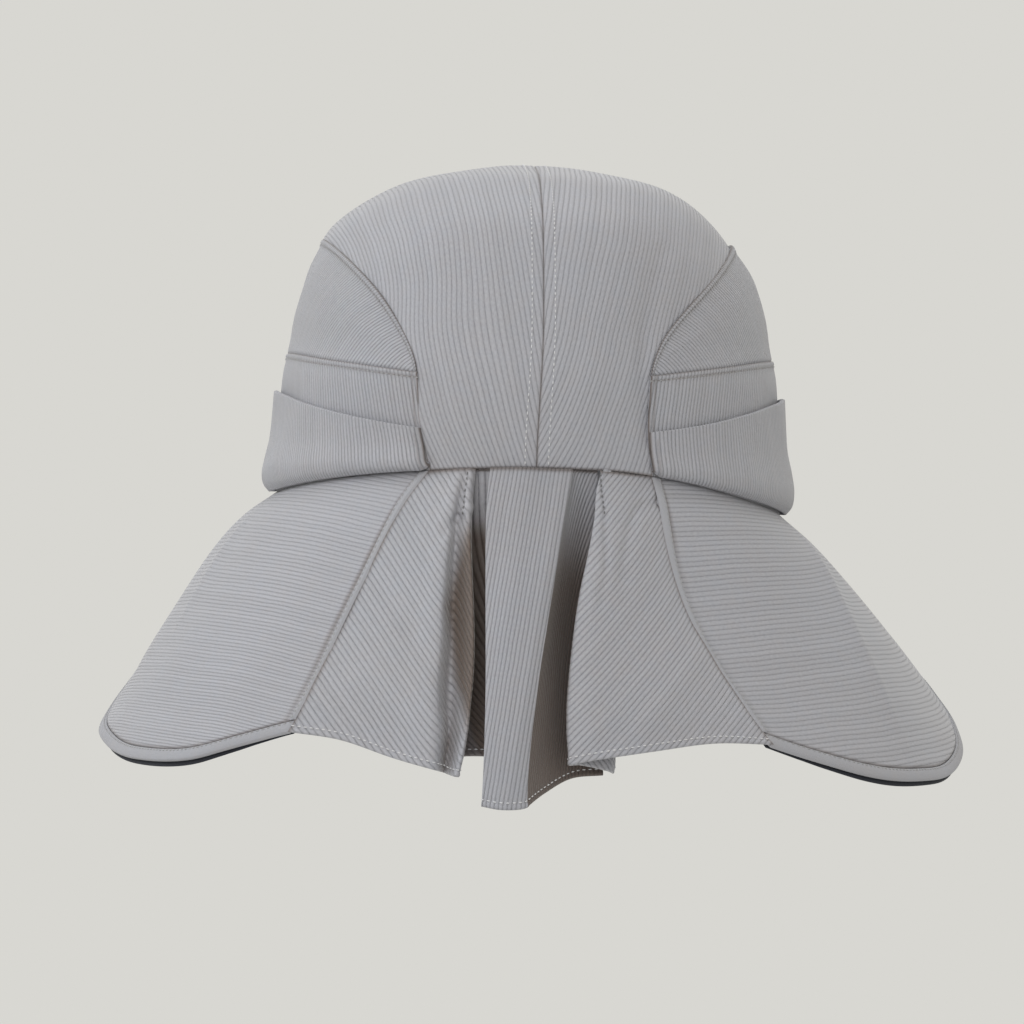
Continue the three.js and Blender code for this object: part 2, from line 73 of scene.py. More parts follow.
SECTION_FOOT = 1.008
CROWN_HALF_WIDTH = 89.5
CROWN_HALF_LENGTH = 101.0
CROWN_HEIGHT = reach("crown_panel_right", 1, 2)
PLAN_FULLNESS = 2.12
SEAM_RISE_BACK = 10.5
SEAM_RISE_FRONT = 6.0
CENTRE_HALF_WIDTH = 40.0
CENTRE_FOOT_HALF_WIDTH = 37.7
ARCH_HEIGHT = 92.0
ARCH_FULLNESS = 2.1
ARCH_ROUNDNESS = 0.66
SIDE_SEAM_HEIGHT = 51.0
SIDE_SEAM_END = 42.5

# Band sizes

BAND_HEIGHT = reach("side_band_right", 1, 2)
BAND_END_HEIGHT = 23.5
BAND_BULGE = 3.3
BAND_END_BULGE = 1.5

# Brim sizes

BRIM_HALF_WIDTH = 154.5
BRIM_BACK = 128.0
BRIM_FRONT = 176.0
BRIM_DROP = 92.0
BRIM_BULGE = 3.4
BRIM_LEAN = 5.0
LEAN_FULL_AT = 0.714
BRIM_SKEW = 0.027
SEAM_BOW = 2.8
BRIM_ROOT_STEP = -0.7
BINDING_WIDTH = 4.5
LINING_PEEK = 1.6
LINING_TOP = 0.02
WELT_WIDTH = 3.3
LEFT_CREST_TURN = 1.668
RIGHT_CREST_TURN = 0.2
RIGHT_CREST_SWEEP = 0.16
CREST_WIDTH = 0.026
LEFT_CREST = 1.6
RIGHT_CREST = 2.6
LEFT_FULLNESS = 3.0

# How the worn hat sits: its foot's slump, its shoulders' shift and the pull on its seams

SLUMP_LEFT = 1.6
SLUMP_RIGHT = 4.0
SHOULDER_SHIFT = 2.6
SEAM_PULL = 3.0
TOP_PULL = 1.6
FOOT_PULL = 0.8
CENTRE_PULL = 1.9

# Cape sizes

CAPE_DROP = 100.5
CAPE_BELLY = 9.8
PLEAT_DEPTH = 20.0
PLEAT_STACK = 2.6

# Walls and clearances; a seam gap below 0 laps the cloths over each other

CROWN_WALL = 1.4
BAND_WALL = 1.8
BRIM_WALL = 1.6
LINING_WALL = 0.7
BINDING_WALL = 2.3
WELT_WALL = 0.7
CAPE_WALL = 1.1
SEAM_GAP = -0.4
LAYER_GAP = 0.35

# Sections and edges

CROWN_SECTION = rows_of(
    ("reach", "rise"),
    [(0.0, 1.0), (0.28, 0.979), (0.54, 0.929), (0.752, 0.828), (0.853, 0.72), (0.911, 0.603)]
    + [(0.957, 0.465), (1.0, 0.331), (SECTION_FOOT, 0.16), (SECTION_FOOT, 0.0)],
)
BAND_SECTION = rows_of(
    ("up", "off"),
    [(-0.012, 0.0), (0.07, 0.78), (0.2, 1.0), (0.34, 0.72), (0.52, 0.28), (0.8, 0.04), (1.0, 0.0)],
)
BRIM_EDGE = rows_of(
    ("turn", "side", "ahead", "drop", "lean", "bow"),
    [
        (0.0, 0.508, -1.0, 0.86, 1.0, 1.0),
        (0.104, 0.73, -0.855, 0.965, 0.6, 0.5),
        (0.232, 0.89, -0.6, 1.0, 0.0, 0.0),
        (0.328, 0.97, -0.345, 0.975, -0.4, 0.0),
        (0.424, 1.0, -0.05, 0.905, -0.5, 0.0),
        (0.552, 0.95, 0.25, 0.74, -0.4, 0.0),
        (0.68, 0.855, 0.555, 0.59, -0.2, 0.0),
        (0.808, 0.62, 0.82, 0.49, 0.0, 0.0),
        (1.0, 0.0, 1.0, 0.415, 0.0, 0.0),
    ],
)
# How the brim's edge differs on the wearer's right, row by row, and how far out it is on the left.
RIGHT_CHANGES = [
    {"lean": 0.46, "bow": 3.8},
    {"lean": 0.52, "bow": 1.5},
    {},
    {"drop": 0.96, "side": 0.968},
    {"drop": 0.86},
    {"drop": 0.7, "side": 0.968},
    {"side": 0.875},
]
LEFT_CHANGES = {0.552: 0.928, 0.68: 0.845}

BRIM_SECTION = rows_of(
    ("along", "full"), [(0.0, 0.0), (0.14, 0.85), (0.3, 1.0), (0.65, 0.6), (1.0, 0.0)]
)
LINING_SHOW = rows_of(
    ("turn", "show"), [(0.0, 0.0), (0.08, 0.8), (0.2, 1.0), (0.34, 0.5), (0.42, 0.0), (1.0, 0.0)]
)

# The cape's fold lines: each one's share of the way to the brim's seam, then how far out it lies,
# both at the top, in the middle and at the hem, and how far it drops.
FOLD_COLUMNS = ("seam", "mid", "hem", "seam_out", "mid_out", "hem_out", "drop")
LEFT_GORE = [
    (-0.92, -0.85, -0.8, 0.1, 0.1, 0.06, 0.885),
    (-0.82, -0.7, -0.6, 0.3, 0.26, 0.22, 0.945),
    (-0.73, -0.56, -0.44, 0.62, 0.42, 0.4, 0.985),
    (-0.69, -0.49, -0.39, 0.55, 0.12, 0.12, 1.0),
    (-0.65, -0.385, -0.345, 0.62, 0.4, 0.42, 1.01),
    (-0.61, -0.385, -0.355, 0.1, 0.05, 0.1, 0.995),
    (-0.6, -0.47, -0.41, -0.65, -0.4, -0.36, 0.965),
    (-0.5, -0.37, -0.31, -0.75, -0.5, -0.5, 0.955),
    (-0.34, -0.21, -0.16, -0.75, -0.4, -0.34, 0.955),
]
CENTRE_STRIP = [
    (-0.47, -0.315, -0.25, 0.85, 0.6, 0.92, 1.1),
    (-0.17, -0.17, -0.18, 1.0, 0.74, 1.0, 1.11),
    (0.18, -0.045, -0.112, 1.0, 0.76, 0.98, 1.11),
    (0.268, 0.0, -0.078, 0.86, 0.7, 0.9, 1.105),
    (0.272, 0.007, -0.072, 0.7, 0.65, 0.86, 1.1),
    (0.28, 0.09, -0.005, -0.1, 0.2, 0.4, 1.065),
    (0.38, 0.25, 0.125, -0.75, -0.26, -0.12, 1.02),
    (0.5, 0.391, 0.261, -0.75, -0.36, -0.3, 1.01),
]
RIGHT_GORE = [
    (0.6, 0.457, 0.309, -0.55, -0.24, -0.18, 1.0),
    (0.6, 0.429, 0.28, 0.1, -0.02, 0.02, 0.99),
    (0.54, 0.275, 0.155, 0.62, 0.28, 0.3, 0.97),
    (0.53, 0.22, 0.108, 1.2, 0.44, 0.48, 0.97),
    (0.6, 0.304, 0.193, 0.85, 0.5, 0.52, 0.955),
    (0.75, 0.598, 0.463, 0.5, 0.34, 0.34, 0.92),
    (0.9, 0.891, 0.743, 0.15, 0.12, 0.1, 0.885),
]

# Creases that the hands and the seams leave in the cloth, seen from behind: from and to are
# sideways and height places in millimetres, wide and high the crease's size, square to the cloth.
CREASE_COLUMNS = ("x0", "z0", "x1", "z1", "wide", "high")
CROWN_CREASES = [
    (40.6, 85.0, 38.0, 76.0, 3.4, -0.9),
    (38.0, 76.0, 35.0, 58.0, 3.4, -1.2),
    (35.0, 58.0, 34.3, 46.6, 3.4, -1.3),
    (34.3, 46.6, 36.6, 21.0, 3.4, -1.1),
]
GORE_CREASES = [
    (-26.5, -4.4, -17.8, -0.3, 1.4, 0.5),
    (-27.2, -6.1, -30.9, -8.2, 1.5, -0.8),
    (-30.9, -8.2, -33.3, -11.9, 1.8, -0.8),
    (-25.2, 8.5, -26.2, 2.0, 0.6, -0.5),
    (-26.2, 2.0, -26.9, -4.8, 0.6, -0.5),
    (19.5, 8.8, 19.8, 3.4, 0.6, -0.5),
    (19.8, 3.4, 20.5, -4.0, 0.6, -0.5),
    (-60.0, -62.0, -36.0, -78.0, 6.0, 0.9),
    (-44.0, -46.0, -30.0, -66.0, 5.0, -0.7),
    (39.6, 0.0, 34.6, -1.4, 1.8, -0.9),
    (34.6, -1.4, 31.9, -3.0, 2.0, -1.2),
    (31.9, -3.0, 29.2, -9.0, 2.0, -1.2),
    (29.2, -9.0, 27.5, -17.7, 2.2, -1.2),
    (27.5, -17.7, 26.9, -25.5, 2.6, -0.9),
    (20.7, -5.0, 20.7, -23.0, 1.3, -0.9),
    (20.7, -23.0, 18.7, -34.0, 1.7, -0.6),
    (50.0, -52.0, 34.0, -72.0, 7.0, 0.8),
]
# The left gore's valley, where shade is painted on the cloth: depth below the head opening and sideways
# place.
LEFT_VALLEY_PAINTED_SHADE = ((-4, -26.0), (10, -29.0), (36, -35.5), (60, -32.5), (80, -27.0), (95, -20.0))
# Places of the short darts that take in the gores below the crown, seen from behind.
DARTS = {
    "cape_left": [(-25.2, 8.5), (-26.2, 2.0), (-26.9, -4.8)],
    "cape_right": [(19.5, 8.8), (19.8, 3.4), (20.5, -4.0)],
}


# Tables and grids


def mix(a, b, t):
    return a + (b - a) * t


def smooth(edge0, edge1, x):
    """Runs smoothly from 0 at the first edge to 1 at the second."""
    t = np.clip((x - edge0) / (edge1 - edge0), 0.0, 1.0)
    return t * t * (3 - 2 * t)


def bell(away, wide):
    """A bell curve: 1 at the middle, fading to either side."""
    return np.exp(-((away / wide) ** 2))


def read_table(table, key, name, at):
    """Reads a column of a table at places along its key column, through a smooth curve."""
    keys = np.array([row[key] for row in table])
    values = np.array([row[name] for row in table])
    before = np.maximum(np.arange(len(keys)) - 1, 0)
    after = np.minimum(np.arange(len(keys)) + 1, len(keys) - 1)
    slopes = (values[after] - values[before]) / (keys[after] - keys[before])
    at = np.asarray(at, dtype=float)
    i = np.clip(np.searchsorted(keys, at, side="left") - 1, 0, len(keys) - 2)
    span = keys[i + 1] - keys[i]
    t = np.clip((at - keys[i]) / span, 0.0, 1.0)
    t2 = t * t
    t3 = t2 * t
    return (
        (2 * t3 - 3 * t2 + 1) * values[i]
        + (t3 - 2 * t2 + t) * span * slopes[i]
        + (3 * t2 - 2 * t3) * values[i + 1]
        + (t3 - t2) * span * slopes[i + 1]
    )


def shares(steps, length, wall):
    """Shares from 0 to 1, with two closer ones at each end that round the cloth's edge."""
    lip = min(0.32 * wall / length, 0.2 / steps)
    fold = min(1.1 * wall / length, 0.6 / steps)
    inner = np.linspace(0.0, 1.0, steps + 1)[1:-1]
    return np.concatenate([[0.0, lip, fold], inner, [1 - fold, 1 - lip, 1.0]])


def with_close_ends(us, length):
    """Shares with extra ones close together across the seam strip at each end."""
    strip = np.arange(1.7, 3.8, 0.3) / length
    middle = us[(us > strip[-1]) & (us < 1 - strip[-1])]
    return np.concatenate([us[:3], strip, middle, 1 - strip[::-1], us[-3:]])


def unit(vectors):
    return vectors / np.maximum(np.linalg.norm(vectors, axis=-1, keepdims=True), 1e-12)


def normals(points):
    """The outward direction at each point of a grid whose columns and rows turn outwards."""
    across = np.gradient(points, axis=1)
    down = np.gradient(points, axis=0)
    return unit(np.cross(across, down))


def run_length(points, axis):
    """How far along a grid each point lies, from the first row or column."""
    steps = np.linalg.norm(np.diff(points, axis=axis), axis=-1)
    total = np.cumsum(steps, axis=axis)
    shape = list(total.shape)
    shape[axis] = 1
    return np.concatenate([np.zeros(shape), total], axis=axis)


def edge_runs(points):
    """Distances from the four edges of a grid: first and last column, first and last row."""
    across = run_length(points, 1)
    up = run_length(points, 0)
    return across, across[:, -1:] - across, up, up[-1:] - up


def soft_waves(points, size, height, seed):
    """Low waves in the cloth about as long as a size, the same in every run."""
    rng = np.random.default_rng(SEED + seed)
    waves = np.zeros(points.shape[:-1])
    for _ in range(7):
        direction = unit(rng.normal(size=3))
        pace = 2 * math.pi / (size * rng.uniform(0.7, 1.6))
        waves += np.sin(points @ direction * pace + rng.uniform(0, 2 * math.pi))
    return waves * height / 7**0.5


def creases(points, table):
    """Raised and sunk creases along straight lines seen from behind, only on the back."""
    lift = np.zeros(points.shape[:-1])
    place = points[..., [0, 2]]
    for row in rows_of(CREASE_COLUMNS, table):
        start = np.array([row["x0"], row["z0"]])
        line = np.array([row["x1"], row["z1"]]) - start
        share = np.clip((place - start) @ line / (line @ line), 0.0, 1.0)
        away = np.linalg.norm(place - start - share[..., None] * line, axis=-1)
        crease = row["high"] * bell(away, row["wide"])
        lift = np.where(np.abs(crease) > np.abs(lift), crease, lift)
    return lift * (points[..., 1] < -40)


def settled(points):
    """The hat as it has settled: its foot lower on the wearer's right, its shoulders askew."""
    x, y, z = points[..., 0], points[..., 1], points[..., 2]
    near_foot = smooth(-55, -5, z) * (1 - smooth(0, 36, z))
    slump = SLUMP_LEFT * smooth(20, 90, -x) - SLUMP_RIGHT * smooth(20, 90, x)
    shoulder = SHOULDER_SHIFT * bell(z - 97, 15) * smooth(20, 70, np.abs(x))
    return np.stack([x - shoulder, y, z + slump * near_foot], axis=-1)


def pulled(points):
    """The crown's back with its seams pulled a little towards the wearer's left."""
    x, y, z = points[..., 0], points[..., 1], points[..., 2]
    turn = np.arctan2(x, -y)
    back = 1 - smooth(55 * RAD, 85 * RAD, np.abs(turn))
    aside = smooth(6, 30, np.abs(x))
    seams = SEAM_PULL * smooth(4, 30, z) * (1 - smooth(54, 80, z)) - TOP_PULL * smooth(76, 92, z)
    seams = seams - FOOT_PULL * (1 - smooth(0, 14, z))
    centre = CENTRE_PULL * (1 - smooth(12, 62, z))
    round_by = -(aside * seams + (1 - aside) * centre) * back / CROWN_HALF_LENGTH
    across = np.hypot(x, y)
    turn = turn + round_by
    return np.stack([across * np.sin(turn), -across * np.cos(turn), z], axis=-1)


# Crown surface


def spline_through(points):
    """A dense run of points on the smooth curve through some points, and its lengths."""
    t = np.linspace(0, len(points) - 1, 2401)
    i = np.clip(t.astype(int), 0, len(points) - 2)
    w = (t - i)[:, None]
    p0 = points[np.maximum(i - 1, 0)]
    p1 = points[i]
    p2 = points[i + 1]
    p3 = points[np.minimum(i + 2, len(points) - 1)]
    v0 = (p2 - p0) / 2
    v1 = (p3 - p1) / 2
    curve = (2 * p1 - 2 * p2 + v0 + v1) * w**3
    curve += (-3 * p1 + 3 * p2 - 2 * v0 - v1) * w**2 + v0 * w + p1
    length = run_length(curve[:, None, :], 0)[:, 0]
    return curve, length


HALF_SECTION = np.array([[row["reach"], row["rise"]] for row in CROWN_SECTION])
WHOLE_SECTION = np.vstack([HALF_SECTION[:0:-1] * [-1, 1], HALF_SECTION])
SECTION_CURVE, SECTION_LENGTH = spline_through(WHOLE_SECTION)
DOWN_SHARES = np.linspace(0, 1, 1201)
SECTION_PLACE = (0.5 + DOWN_SHARES / 2) * SECTION_LENGTH[-1]
SECTION_X = np.interp(SECTION_PLACE, SECTION_LENGTH, SECTION_CURVE[:, 0])
SECTION_Z = np.interp(SECTION_PLACE, SECTION_LENGTH, SECTION_CURVE[:, 1])
MAP_LENGTH = SECTION_LENGTH[-1] / 2 * CROWN_HALF_WIDTH


def plan_radius(turn):
    across = np.abs(np.sin(turn) / CROWN_HALF_WIDTH) ** PLAN_FULLNESS
    along = np.abs(np.cos(turn) / CROWN_HALF_LENGTH) ** PLAN_FULLNESS
    return (across + along) ** (-1 / PLAN_FULLNESS)


def down_at(height):
    """How far down the crown's section a height lies, as a share."""
    return np.interp(-np.asarray(height) / CROWN_HEIGHT, -SECTION_Z, DOWN_SHARES)


def crown_point(turn, down, off=0.0):
    """A point on the crown: turn goes round from the centre back towards the right."""
    across = plan_radius(turn) * np.interp(down, DOWN_SHARES, SECTION_X) + off
    height = np.interp(down, DOWN_SHARES, SECTION_Z) * CROWN_HEIGHT
    return np.stack([across * np.sin(turn), -across * np.cos(turn), height + 0 * turn], axis=-1)


def bottom_seam(turn):
    rise = np.where(np.cos(turn) > 0, SEAM_RISE_BACK, SEAM_RISE_FRONT)
    return rise * np.cos(turn) ** 2


def turn_at_width(half_width, height):
    turns = np.linspace(0, math.pi / 2, 2001)
    widths = crown_point(turns, down_at(height))[:, 0]
    return float(np.interp(half_width, widths, turns))


ARCH_TURN = turn_at_width(CENTRE_HALF_WIDTH, SIDE_SEAM_END)
FOOT_TURN = turn_at_width(CENTRE_FOOT_HALF_WIDTH, SEAM_RISE_BACK)


def side_seam(turn):
    share = (turn - ARCH_TURN) / (math.pi / 2 - ARCH_TURN)
    share = np.clip(np.where(share > 1, 2 - share, share), 0, 1)
    return mix(SIDE_SEAM_END, SIDE_SEAM_HEIGHT, np.sin(share * math.pi / 2))


def arch_seam(share):
    """Turn and height of the arch seam, from its rear end at 0 to its front end at 1."""
    aside = np.cos(np.asarray(share) * math.pi)
    turn = math.pi / 2 - aside * (math.pi / 2 - ARCH_TURN)
    rise = (1 - np.abs(aside) ** ARCH_FULLNESS) ** ARCH_ROUNDNESS
    return turn, mix(side_seam(turn), ARCH_HEIGHT, rise)


def panel_edge(v):
    """Turn and height of a centre panel's outer edge, from the back foot to the front foot."""
    foot = 3 / 22
    turn, height = arch_seam(np.clip((v - foot) / (1 - 2 * foot), 0, 1))
    rear = np.clip(v / foot, 0, 1)
    front = np.clip((1 - v) / foot, 0, 1)
    rear_turn = mix(FOOT_TURN, ARCH_TURN, rear)
    front_turn = math.pi - mix(FOOT_TURN, ARCH_TURN, front)
    turn = np.where(v < foot, rear_turn, np.where(v > 1 - foot, front_turn, turn))
    rear_height = mix(bottom_seam(rear_turn), SIDE_SEAM_END, rear)
    front_height = mix(bottom_seam(front_turn), SIDE_SEAM_END, front)
    height = np.where(v < foot, rear_height, np.where(v > 1 - foot, front_height, height))
    return turn, height


def crown_panel_points(us, vs):
    """The wearer's right centre panel: columns go out from the centre seam, rows over the top."""
    u, v = np.meshgrid(us, vs)
    turn, height = panel_edge(v)
    edge_down = down_at(height)
    edge_x = edge_down * np.sin(turn)
    edge_y = -edge_down * np.cos(turn)
    foot_turn, foot_height = panel_edge(np.where(v < 0.5, 0.0, 1.0))
    foot_y = -down_at(foot_height) * np.cos(foot_turn)
    middle_down = down_at(bottom_seam(np.where(v < 0.5, 0.0, math.pi)))
    middle_y = np.sign(foot_y) * middle_down * (edge_y / foot_y)
    gap = SEAM_GAP / 2 / MAP_LENGTH
    share = mix(gap / edge_x, 1 - 1.6 * gap / edge_x, u)
    x = share * edge_x
    y = mix(middle_y, edge_y, share**2)
    near_foot = np.minimum(np.abs(middle_y / middle_down), 1) ** 3
    level = mix(np.abs(middle_y), edge_down, share**2)
    down = mix(np.hypot(x, y), level, near_foot)
    return crown_point(np.arctan2(x, -y), down)


def side_panel_points(us, vs):
    u, v = np.meshgrid(us, vs)
    tip = 0.01
    turn, arch = arch_seam(mix(tip, 1 - tip, u))
    low = side_seam(turn) + SEAM_GAP / 2
    return crown_point(turn, down_at(mix(low, arch - SEAM_GAP, v)))


def inset_turn(u, up):
    turn, _ = arch_seam(u)
    end = mix(FOOT_TURN, ARCH_TURN, up) + SEAM_GAP / CROWN_HALF_WIDTH
    share = (turn - ARCH_TURN) / (math.pi - 2 * ARCH_TURN)
    return mix(end, math.pi - end, share)


def side_inset_points(us, vs):
    u, v = np.meshgrid(us, vs)
    turn = inset_turn(u, v)
    high = side_seam(turn) - SEAM_GAP / 2
    return crown_point(turn, down_at(mix(bottom_seam(turn), high, v)))


def side_band_points(us, vs):
    u, v = np.meshgrid(us, vs)
    up = mix(BAND_SECTION[0]["up"], 1.0, v)
    ends = math.cos(FOOT_TURN) ** 2
    middle = np.clip((np.sin(inset_turn(u, 0.5)) ** 2 - 1 + ends) / ends, 0, 1)
    turn = inset_turn(u, up * 0.55)
    height = mix(bottom_seam(turn), mix(BAND_END_HEIGHT, BAND_HEIGHT, middle), up)
    bulge = mix(BAND_END_BULGE, BAND_BULGE, np.sqrt(middle))
    off = LAYER_GAP + BAND_WALL + bulge * read_table(BAND_SECTION, "up", "off", up)
    return crown_point(turn, down_at(height), off)


# Brim surface

RIGHT_EDGE = [{**row, **change} for row, change in zip(BRIM_EDGE, RIGHT_CHANGES)]
RIGHT_EDGE += BRIM_EDGE[len(RIGHT_CHANGES) :]
LEFT_EDGE = [
    {**row, "turn": 2 - row["turn"], "side": -LEFT_CHANGES.get(row["turn"], row["side"])}
    for row in BRIM_EDGE[-2::-1]
]
BRIM_ROUND = [
    {**row, "drop": row["drop"] * (1 + BRIM_SKEW * row["side"])} for row in RIGHT_EDGE + LEFT_EDGE
]


def brim_point(turn, along):
    """A point on the brim: turn runs from the right rear seam at 0 to the left one at 2."""
    angle = mix(FOOT_TURN, math.pi, turn)
    radius = plan_radius(angle) * SECTION_FOOT + BRIM_ROOT_STEP
    height = bottom_seam(angle) - SEAM_GAP
    root = np.stack([radius * np.sin(angle), -radius * np.cos(angle), height], axis=-1)
    ahead = read_table(BRIM_ROUND, "turn", "ahead", turn)
    edge = np.stack(
        [
            read_table(BRIM_ROUND, "turn", "side", turn) * BRIM_HALF_WIDTH,
            ahead * np.where(ahead > 0, BRIM_FRONT, BRIM_BACK),
            -read_table(BRIM_ROUND, "turn", "drop", turn) * BRIM_DROP,
        ],
        axis=-1,
    )
    slope = edge - root
    level = np.hypot(slope[..., 0], slope[..., 1])[..., None]
    outward = np.concatenate([slope[..., :2] / level, np.zeros_like(level)], axis=-1)
    lift = unit(np.array([0, 0, 1.0]) * level - outward * slope[..., 2:])
    full = read_table(BRIM_SECTION, "along", "full", along) * BRIM_BULGE
    point = root + slope * np.asarray(along)[..., None] + lift * full[..., None]
    lean = read_table(BRIM_ROUND, "turn", "lean", turn) * BRIM_LEAN
    bow = read_table(BRIM_ROUND, "turn", "bow", turn) * SEAM_BOW
    point[..., 0] -= lean * np.sin(np.minimum(np.asarray(along) / LEAN_FULL_AT, 1) * math.pi / 2)
    point[..., 0] -= np.sign(1 - turn) * bow * np.sin(np.asarray(along) * math.pi)
    return point


def brim_length(turn):
    start = brim_point(turn, np.zeros_like(turn))
    return np.linalg.norm(brim_point(turn, np.ones_like(turn)) - start, axis=-1)


SEAM_SHARE = SEAM_GAP / 2 / (math.pi * BRIM_HALF_WIDTH)


def brim_grid(us, vs, past_rim, top=None):
    """A grid on the brim from rear seam to rear seam.

    Its rows rise from a distance past the rim to a share of the brim's length, or over the
    binding's width where no top is given.
    """
    u, v = np.meshgrid(us, vs)
    turn = mix(SEAM_SHARE, 2 - SEAM_SHARE, u)
    length = brim_length(turn)
    high = 1 - BINDING_WIDTH / length if top is None else top
    along = mix(1 + past_rim / length, high, v)
    return settled(brim_point(turn, along)), turn, along


# Cape surface


def fold_line(fold, along):
    """A fold line of the cape, from the bottom seam to the hem."""

    def through(a, b, c):
        handle = 2 * b - (a + c) / 2
        return mix(mix(a, handle, along), mix(handle, c, along), along)

    share = through(fold["seam"], fold["mid"], fold["hem"])
    right = brim_point(np.zeros_like(along), along)
    left = brim_point(np.full_like(along, 2.0), along)
    seam = np.where((share > 0)[:, None], right, left)
    x = np.abs(share) * seam[:, 0]
    out = through(
        fold["seam_out"] * PLEAT_STACK,
        fold["mid_out"] * PLEAT_DEPTH,
        fold["hem_out"] * PLEAT_DEPTH,
    )
    out = mix(0.1 * out - 1.0, out, smooth(0, 0.012, along))
    centre = mix(CROWN_HALF_LENGTH * SECTION_FOOT, BRIM_BACK + CAPE_BELLY, along)
    hang = mix(centre, -seam[:, 1], np.minimum(share**2, 1))
    top = bottom_seam(np.abs(np.arctan2(x, hang))) - SEAM_GAP
    return np.stack([x, -hang - out, top - fold["drop"] * CAPE_DROP * along], axis=-1)


def across_folds(lines, us):
    """A smooth surface across fold lines: lines has the shape fold, row, axis."""
    first = 2 * lines[:1] - lines[1:2]
    last = 2 * lines[-1:] - lines[-2:-1]
    padded = np.concatenate([first, lines, last])
    place = us * (len(lines) - 1)
    i = np.clip(place.astype(int), 0, len(lines) - 2)
    t = (place - i)[:, None, None]
    p = [padded[i + k] for k in range(4)]
    d = [np.sqrt(np.linalg.norm(p[k + 1] - p[k], axis=-1, keepdims=True)) for k in range(3)]
    start = (p[1] - p[0]) / d[0] - (p[2] - p[0]) / (d[0] + d[1]) + (p[2] - p[1]) / d[1]
    end = (p[2] - p[1]) / d[1] - (p[3] - p[1]) / (d[1] + d[2]) + (p[3] - p[2]) / d[2]
    start = start * d[1]
    end = end * d[1]
    curve = p[1] + start * t + (3 * (p[2] - p[1]) - 2 * start - end) * t**2
    curve = curve + (2 * (p[1] - p[2]) + start + end) * t**3
    return np.swapaxes(curve, 0, 1)


def cape_points(folds, side, us, vs):
    """A piece of the cape: rows rise from the hem to the bottom seam."""
    along = 1 - vs
    lines = [fold_line(fold, along) for fold in rows_of(FOLD_COLUMNS, folds)]
    if side:
        seam = brim_point(np.full_like(along, 0.0 if side > 0 else 2.0), along)
        seam = seam - np.array([side * SEAM_GAP, SEAM_GAP, 0.0])
        lines = lines + [seam] if side > 0 else [seam] + lines
    return settled(across_folds(np.stack(lines), us))


# Meshes


def sew_wall(node, points, faces, weave, material, painted_shade=None, cloth=None):
    """Builds a closed cloth wall over a grid in place of a solid and returns its object.

    faces says how far the outer and the inner face lie from the grid, and weave holds the
    cloth's own flat places, in millimetres across and along the ribs.
    """
    name = cloth or f"{node}_cloth"
    rows, columns = points.shape[:2]
    square = normals(points)
    outer, inner = (np.broadcast_to(face, (rows, columns)) for face in faces)
    SEWN[node] = (points, outer)
    middle = (outer + inner) / 2
    lip = np.ones((rows, columns))
    for edge, keep in ((1, 0.78), (0, 0.25)):
        for place in (edge, -1 - edge):
            lip[place, :] = np.minimum(lip[place, :], keep)
            lip[:, place] = np.minimum(lip[:, place], keep)
    outer = middle + (outer - middle) * lip
    inner = middle + (inner - middle) * lip
    sides = [(points + square * face[..., None]).reshape(-1, 3) for face in (outer, inner)]
    vertices = np.concatenate(sides) * MM
    index = np.arange(rows * columns).reshape(rows, columns)
    quads = np.stack([index[:-1, :-1], index[:-1, 1:], index[1:, 1:], index[1:, :-1]], axis=-1)
    quads = quads.reshape(-1, 4)
    under = quads[:, ::-1] + rows * columns
    loop = np.concatenate([index[0, :-1], index[:-1, -1], index[-1, :0:-1], index[:0:-1, 0]])
    onward = np.roll(loop, -1)
    rim = np.stack([onward, loop, loop + rows * columns, onward + rows * columns], axis=-1)
    polygons = np.concatenate([quads, under, rim])
    mesh = bpy.data.meshes.new(name)
    mesh.from_pydata(vertices.tolist(), [], polygons.tolist())
    mesh.update()
    layer = mesh.uv_layers.new(name="weave")
    corners = np.empty(len(mesh.loops), dtype=np.int32)
    mesh.loops.foreach_get("vertex_index", corners)
    flat = np.concatenate([weave.reshape(-1, 2)] * 2)[corners] * MM
    layer.data.foreach_set("uv", flat.astype(np.float32).ravel())
    mesh.polygons.foreach_set("use_smooth", np.ones(len(mesh.polygons), dtype=bool))
    mesh.materials.append(material)
    piece = place_piece(name, mesh)
    # Painted shade for seams and folds, kept on the outer face for the cloth's tone.
    if painted_shade is not None:
        mark_painted_shade(piece, painted_shade)
    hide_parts(node)
    return piece


def place_piece(name, mesh):
    piece = bpy.data.objects.new(name, mesh)
    bpy.context.scene.collection.objects.link(piece)
    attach(piece, "root")
    return piece


def painted_fold_shade(points, lift, others):
    """Painted shade for each place of a piece, from how deep it lies in the cape's folds: 0 in the open,
    1 well inside, fainter just below the crown's foot.
    """
    step = 4
    rows = np.unique(np.append(np.arange(0, points.shape[0], step), points.shape[0] - 1))
    columns = np.unique(np.append(np.arange(0, points.shape[1], step), points.shape[1] - 1))
    square = normals(points)
    start = (points + square * (lift + 0.4)[..., None])[np.ix_(rows, columns)]
    facing = square[np.ix_(rows, columns)]
    rng = np.random.default_rng(SEED)
    rays = unit(rng.normal(size=(40, 3)))
    covered = np.zeros(start.shape[:2])
    for row in range(start.shape[0]):
        for column in range(start.shape[1]):
            origin = Vector(start[row, column])
            total = 0.0
            met = 0.0
            for ray in rays:
                slope = float(facing[row, column] @ ray)
                if slope <= 0.05:
                    continue
                total += slope
                hit = others.ray_cast(origin, Vector(ray), 45.0)
                if hit[0] is not None:
                    met += slope
            covered[row, column] = met / total
    across = np.arange(points.shape[1])
    wide = np.array([np.interp(across, columns, line) for line in covered])
    down = np.arange(points.shape[0])
    full = np.array([np.interp(down, rows, line) for line in wide.T]).T
    below = bottom_seam(np.arctan2(points[..., 0], -points[..., 1])) - points[..., 2]
    return smooth(0.12, 0.75, full) * mix(0.08, 1.0, smooth(3, 44, below))


